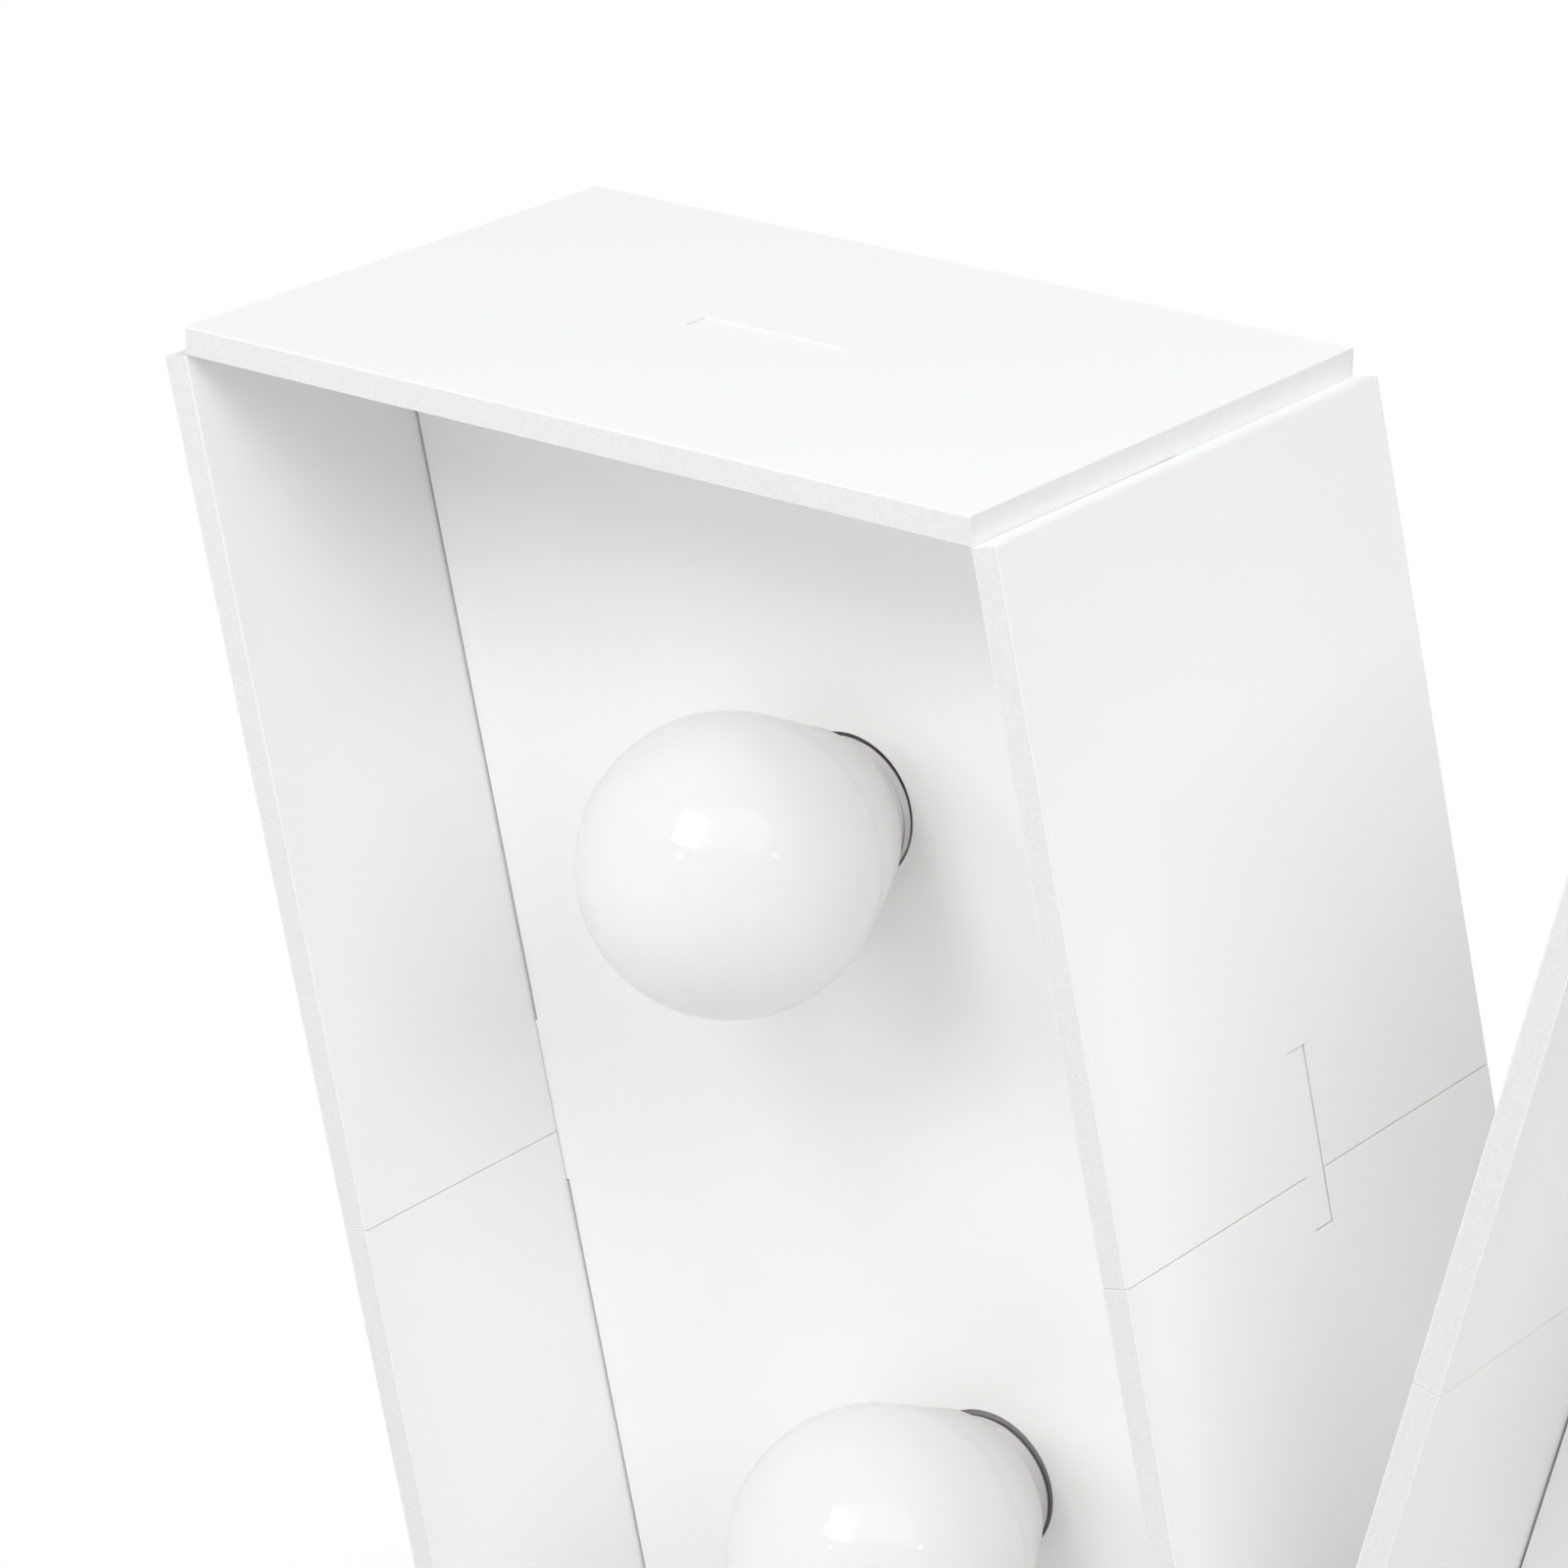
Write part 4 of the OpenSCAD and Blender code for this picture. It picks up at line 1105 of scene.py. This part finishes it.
class LETTER_OT_switch(bpy.types.Operator):
    """Rocker switch in the lid: frame and rocker"""

    bl_idname = "letter.switch"
    bl_label = "Rocker switch"

    def execute(self, context):
        sizes = settings(context, "switch")
        colours = settings(context, "colours")
        self.body(sizes, moulded_finish("switch_polyamide", colours.black, rough=0.4, grain=0.5, depth=0.02))
        polished = moulded_finish("rocker_polycarbonate", colours.black, rough=0.18, grain=0.9, depth=0.006)
        self.rocker(sizes, polished)
        return {"FINISHED"}

    def body(self, sizes, finish):
        """Frame of the switch: loops up from its well's floor, over the bezel and down behind the lid."""
        half_x, half_y = half_size(SWITCH_LOW, SWITCH_HIGH)
        top = SWITCH_HIGH.y - BOX_LOW.y
        low = SWITCH_LOW.y - BOX_LOW.y
        face = top - sizes.bezel
        well = face - sizes.well
        inside = sizes.lip + sizes.wall
        soft = sizes.soft
        insets = [inside, inside, inside - soft, 2 * soft, soft / 2, 0, 0, sizes.lip, sizes.lip]
        heights = [well, top - soft, top, top, top - soft / 2, top - 2 * soft, face, face, low]
        loops = [rectangle(half_x - i, half_y - i, sizes.corner) for i in insets]
        rim = at_box(stacked(loops, heights))
        add_moulding("switch_frame", [rim], finish, "letter", "black_plastic", "switch_body")

    def rocker(self, sizes, finish):
        """Rocker: side outline carried across its width, drawn in at the cheeks and turned on its pivot."""
        half, belly = sizes.half, sizes.belly
        outline = np.array([(half, sizes.end), (0, sizes.face), (-half, sizes.end), (-half, -sizes.side),
                            (-belly, -belly), (belly, -belly), (half, -sizes.side)])
        radius = MM * np.array(ROCKER_EDGES)
        width = half_size(ROCKER_LOW, ROCKER_HIGH)[0] - sizes.pin
        cheek = sizes.cheek
        loops = [rounded(moved_in(outline, np.full(len(outline), i)), radius) for i in (cheek, 0, 0, cheek)]
        rim = stacked(loops, [-width, cheek - width, width - cheek, width])
        c, s = math.cos(sizes.tilt), math.sin(sizes.tilt)
        pivot = next(joint["pos_m"] for joint in frame["joints"] if joint["name"] == "rocker_tilt")
        rim = placed(rim, pivot, (0, -s, -c), (0, c, -s), (1, 0, 0))
        add_moulding("rocker_key", [rim], finish, "rocker", "rocker_plastic", "rocker")


class LETTER_OT_small_metal(bpy.types.Operator):
    """Screws and contacts: keep their CAD shapes and take metal finishes"""

    bl_idname = "letter.small_metal"
    bl_label = "Screws and contacts"

    def execute(self, context):
        colours = settings(context, "colours")
        dress("screws", metal_finish("zinc_plated_steel", colours.zinc, rough=0.32, mark=0.4))
        dress("holder_contacts", metal_finish("pressed_brass", colours.brass, rough=0.28, mark=0.5))
        return {"FINISHED"}


class LETTER_OT_stage(bpy.types.Operator):
    """Camera at the photograph's angle, pale floor and soft studio light"""

    bl_idname = "letter.stage"
    bl_label = "Stage"

    def execute(self, context):
        stage = settings(context, "stage")
        self.camera(context, stage)
        self.world(context, stage)
        self.floor(context, stage, settings(context, "colours"))
        self.softboxes(context)
        context.scene.view_settings.view_transform = "Standard"
        return {"FINISHED"}

    def camera(self, context, stage):
        """Camera from its place and angles: X to the right, Y up and Z back towards the eye."""
        ahead = np.array([-math.sin(stage.heading) * math.cos(stage.pitch),
                          math.cos(stage.heading) * math.cos(stage.pitch), -math.sin(stage.pitch)])
        level = np.array([math.cos(stage.heading), math.sin(stage.heading), 0])
        down = np.cross(ahead, level)
        right = math.cos(stage.roll) * level + math.sin(stage.roll) * down
        up = math.sin(stage.roll) * level - math.cos(stage.roll) * down
        data = bpy.data.cameras.new("camera")
        data.sensor_width = stage.sensor
        data.lens = stage.lens
        camera = bpy.data.objects.new("camera", data)
        turn = Matrix(np.stack([right, up, -ahead], 1).tolist()).to_4x4()
        camera.matrix_world = Matrix.Translation(stage.eye) @ turn
        context.scene.collection.objects.link(camera)
        context.scene.camera = camera

    def seen(self, tree):
        """One for rays that show the backdrop, to the camera, in gloss and through glass, else zero."""
        path = add_node(tree, "ShaderNodeLightPath")
        mirror = add_node(tree, "ShaderNodeMath", {"operation": "MAXIMUM"},
                          {0: path.outputs["Is Glossy Ray"], 1: path.outputs["Is Transmission Ray"]})
        both = add_node(tree, "ShaderNodeMath", {"operation": "MAXIMUM"},
                        {0: path.outputs["Is Camera Ray"], 1: mirror.outputs["Value"]})
        return both.outputs["Value"]

    def world(self, context, stage):
        """Even white dome: the level lights the object, and the camera, gloss and glass see white."""
        world = bpy.data.worlds.new("studio")
        world.use_nodes = True
        tree = world.node_tree
        tree.nodes.clear()
        level = add_node(tree, "ShaderNodeMapRange", inputs={
            "Value": self.seen(tree), "To Min": stage.dome, "To Max": 1.0})
        back = add_node(tree, "ShaderNodeBackground", inputs={"Strength": level.outputs["Result"]})
        add_node(tree, "ShaderNodeOutputWorld", inputs={"Surface": back.outputs["Background"]})
        context.scene.world = world

    def floor(self, context, stage, colours):
        """Matt white floor under the letter that turns into a white backdrop away from it."""
        finish, tree, shader, where = new_finish("studio_floor")
        tone = clouded(tree, where, size=300, detail=3.0, tone=colours.floor, share=0.01)[1]
        set_inputs(tree, shader, {"Base Color": tone, "Roughness": 0.9})
        reach = add_node(tree, "ShaderNodeVectorMath", {"operation": "LENGTH"}, {0: where})
        away = add_node(tree, "ShaderNodeMapRange", {"interpolation_type": "SMOOTHSTEP"}, {
            "Value": reach.outputs["Value"], "From Min": stage.clear_near, "From Max": stage.clear_far})
        share = add_node(tree, "ShaderNodeMath", {"operation": "MULTIPLY"},
                         {0: self.seen(tree), 1: away.outputs["Result"]})
        glow = add_node(tree, "ShaderNodeEmission", inputs={"Strength": 1.0})
        both = add_node(tree, "ShaderNodeMixShader", inputs={
            0: share.outputs["Value"], 1: shader.outputs["BSDF"], 2: glow.outputs["Emission"]})
        set_inputs(tree, tree.get_output_node("ALL"), {"Surface": both.outputs["Shader"]})
        half = stage.floor_size / 2
        mesh = bpy.data.meshes.new("floor")
        corners = [(-half, -half, 0), (half, -half, 0), (half, half, 0), (-half, half, 0)]
        mesh.from_pydata(corners, [], [(0, 1, 2, 3)])
        mesh.materials.append(finish)
        floor = bpy.data.objects.new("floor", mesh)
        context.scene.collection.objects.link(floor)

    def softboxes(self, context):
        """Area lamps round the letter, each turned towards the aim."""
        for lamp in LAMPS:
            a, e = math.radians(lamp.bearing), math.radians(lamp.rise)
            towards = np.array([math.sin(a) * math.cos(e), -math.cos(a) * math.cos(e), math.sin(e)])
            data = bpy.data.lights.new(lamp.name, "AREA")
            data.shape = "RECTANGLE"
            data.size, data.size_y = lamp.width, lamp.height
            data.energy = lamp.power
            softbox = bpy.data.objects.new(lamp.name, data)
            softbox.visible_glossy = lamp.mirrored
            level = unit(np.cross((0, 0, 1), towards))
            turn = Matrix(np.stack([level, np.cross(towards, level), towards], 1).tolist()).to_4x4()
            softbox.matrix_world = Matrix.Translation(LAMP_AIM + lamp.distance * towards) @ turn
            context.scene.collection.objects.link(softbox)


class LETTER_PT_sidebar(bpy.types.Panel):
    """Pieces and settings of the letter"""

    bl_label = "Light-up letter"
    bl_idname = "LETTER_PT_sidebar"
    bl_space_type = "VIEW_3D"
    bl_region_type = "UI"
    bl_category = "Letter"

    def draw(self, context):
        for group in GROUPS:
            values = settings(context, group)
            column = self.layout.column(align=True)
            for key in values.__annotations__:
                column.prop(values, key)
        for step in OPERATORS:
            self.layout.operator(step.bl_idname)


GROUPS = {"sheet": LetterSheet, "bulb": LetterBulb, "holder": LetterHolder, "wires": LetterWires,
          "box": LetterBox, "switch": LetterSwitch, "colours": LetterColours, "stage": LetterStage}
OPERATORS = (LETTER_OT_stage, LETTER_OT_wall_panels, LETTER_OT_end_panels, LETTER_OT_bulb_board,
             LETTER_OT_globes, LETTER_OT_screw_caps, LETTER_OT_lamp_holders, LETTER_OT_wiring,
             LETTER_OT_control_box, LETTER_OT_switch, LETTER_OT_small_metal)
CLASSES = (*GROUPS.values(), *OPERATORS, LETTER_PT_sidebar)


def register():
    for cls in CLASSES:
        bpy.utils.register_class(cls)
    for name, group in GROUPS.items():
        setattr(bpy.types.Scene, "letter_" + name, PointerProperty(type=group))


def unregister():
    for name in GROUPS:
        delattr(bpy.types.Scene, "letter_" + name)
    for cls in reversed(CLASSES):
        bpy.utils.unregister_class(cls)


def main():
    register()
    for step in OPERATORS:
        group, name = step.bl_idname.split(".")
        getattr(getattr(bpy.ops, group), name)()
    bpy.context.view_layer.update()


if __name__ == "__main__":
    main()
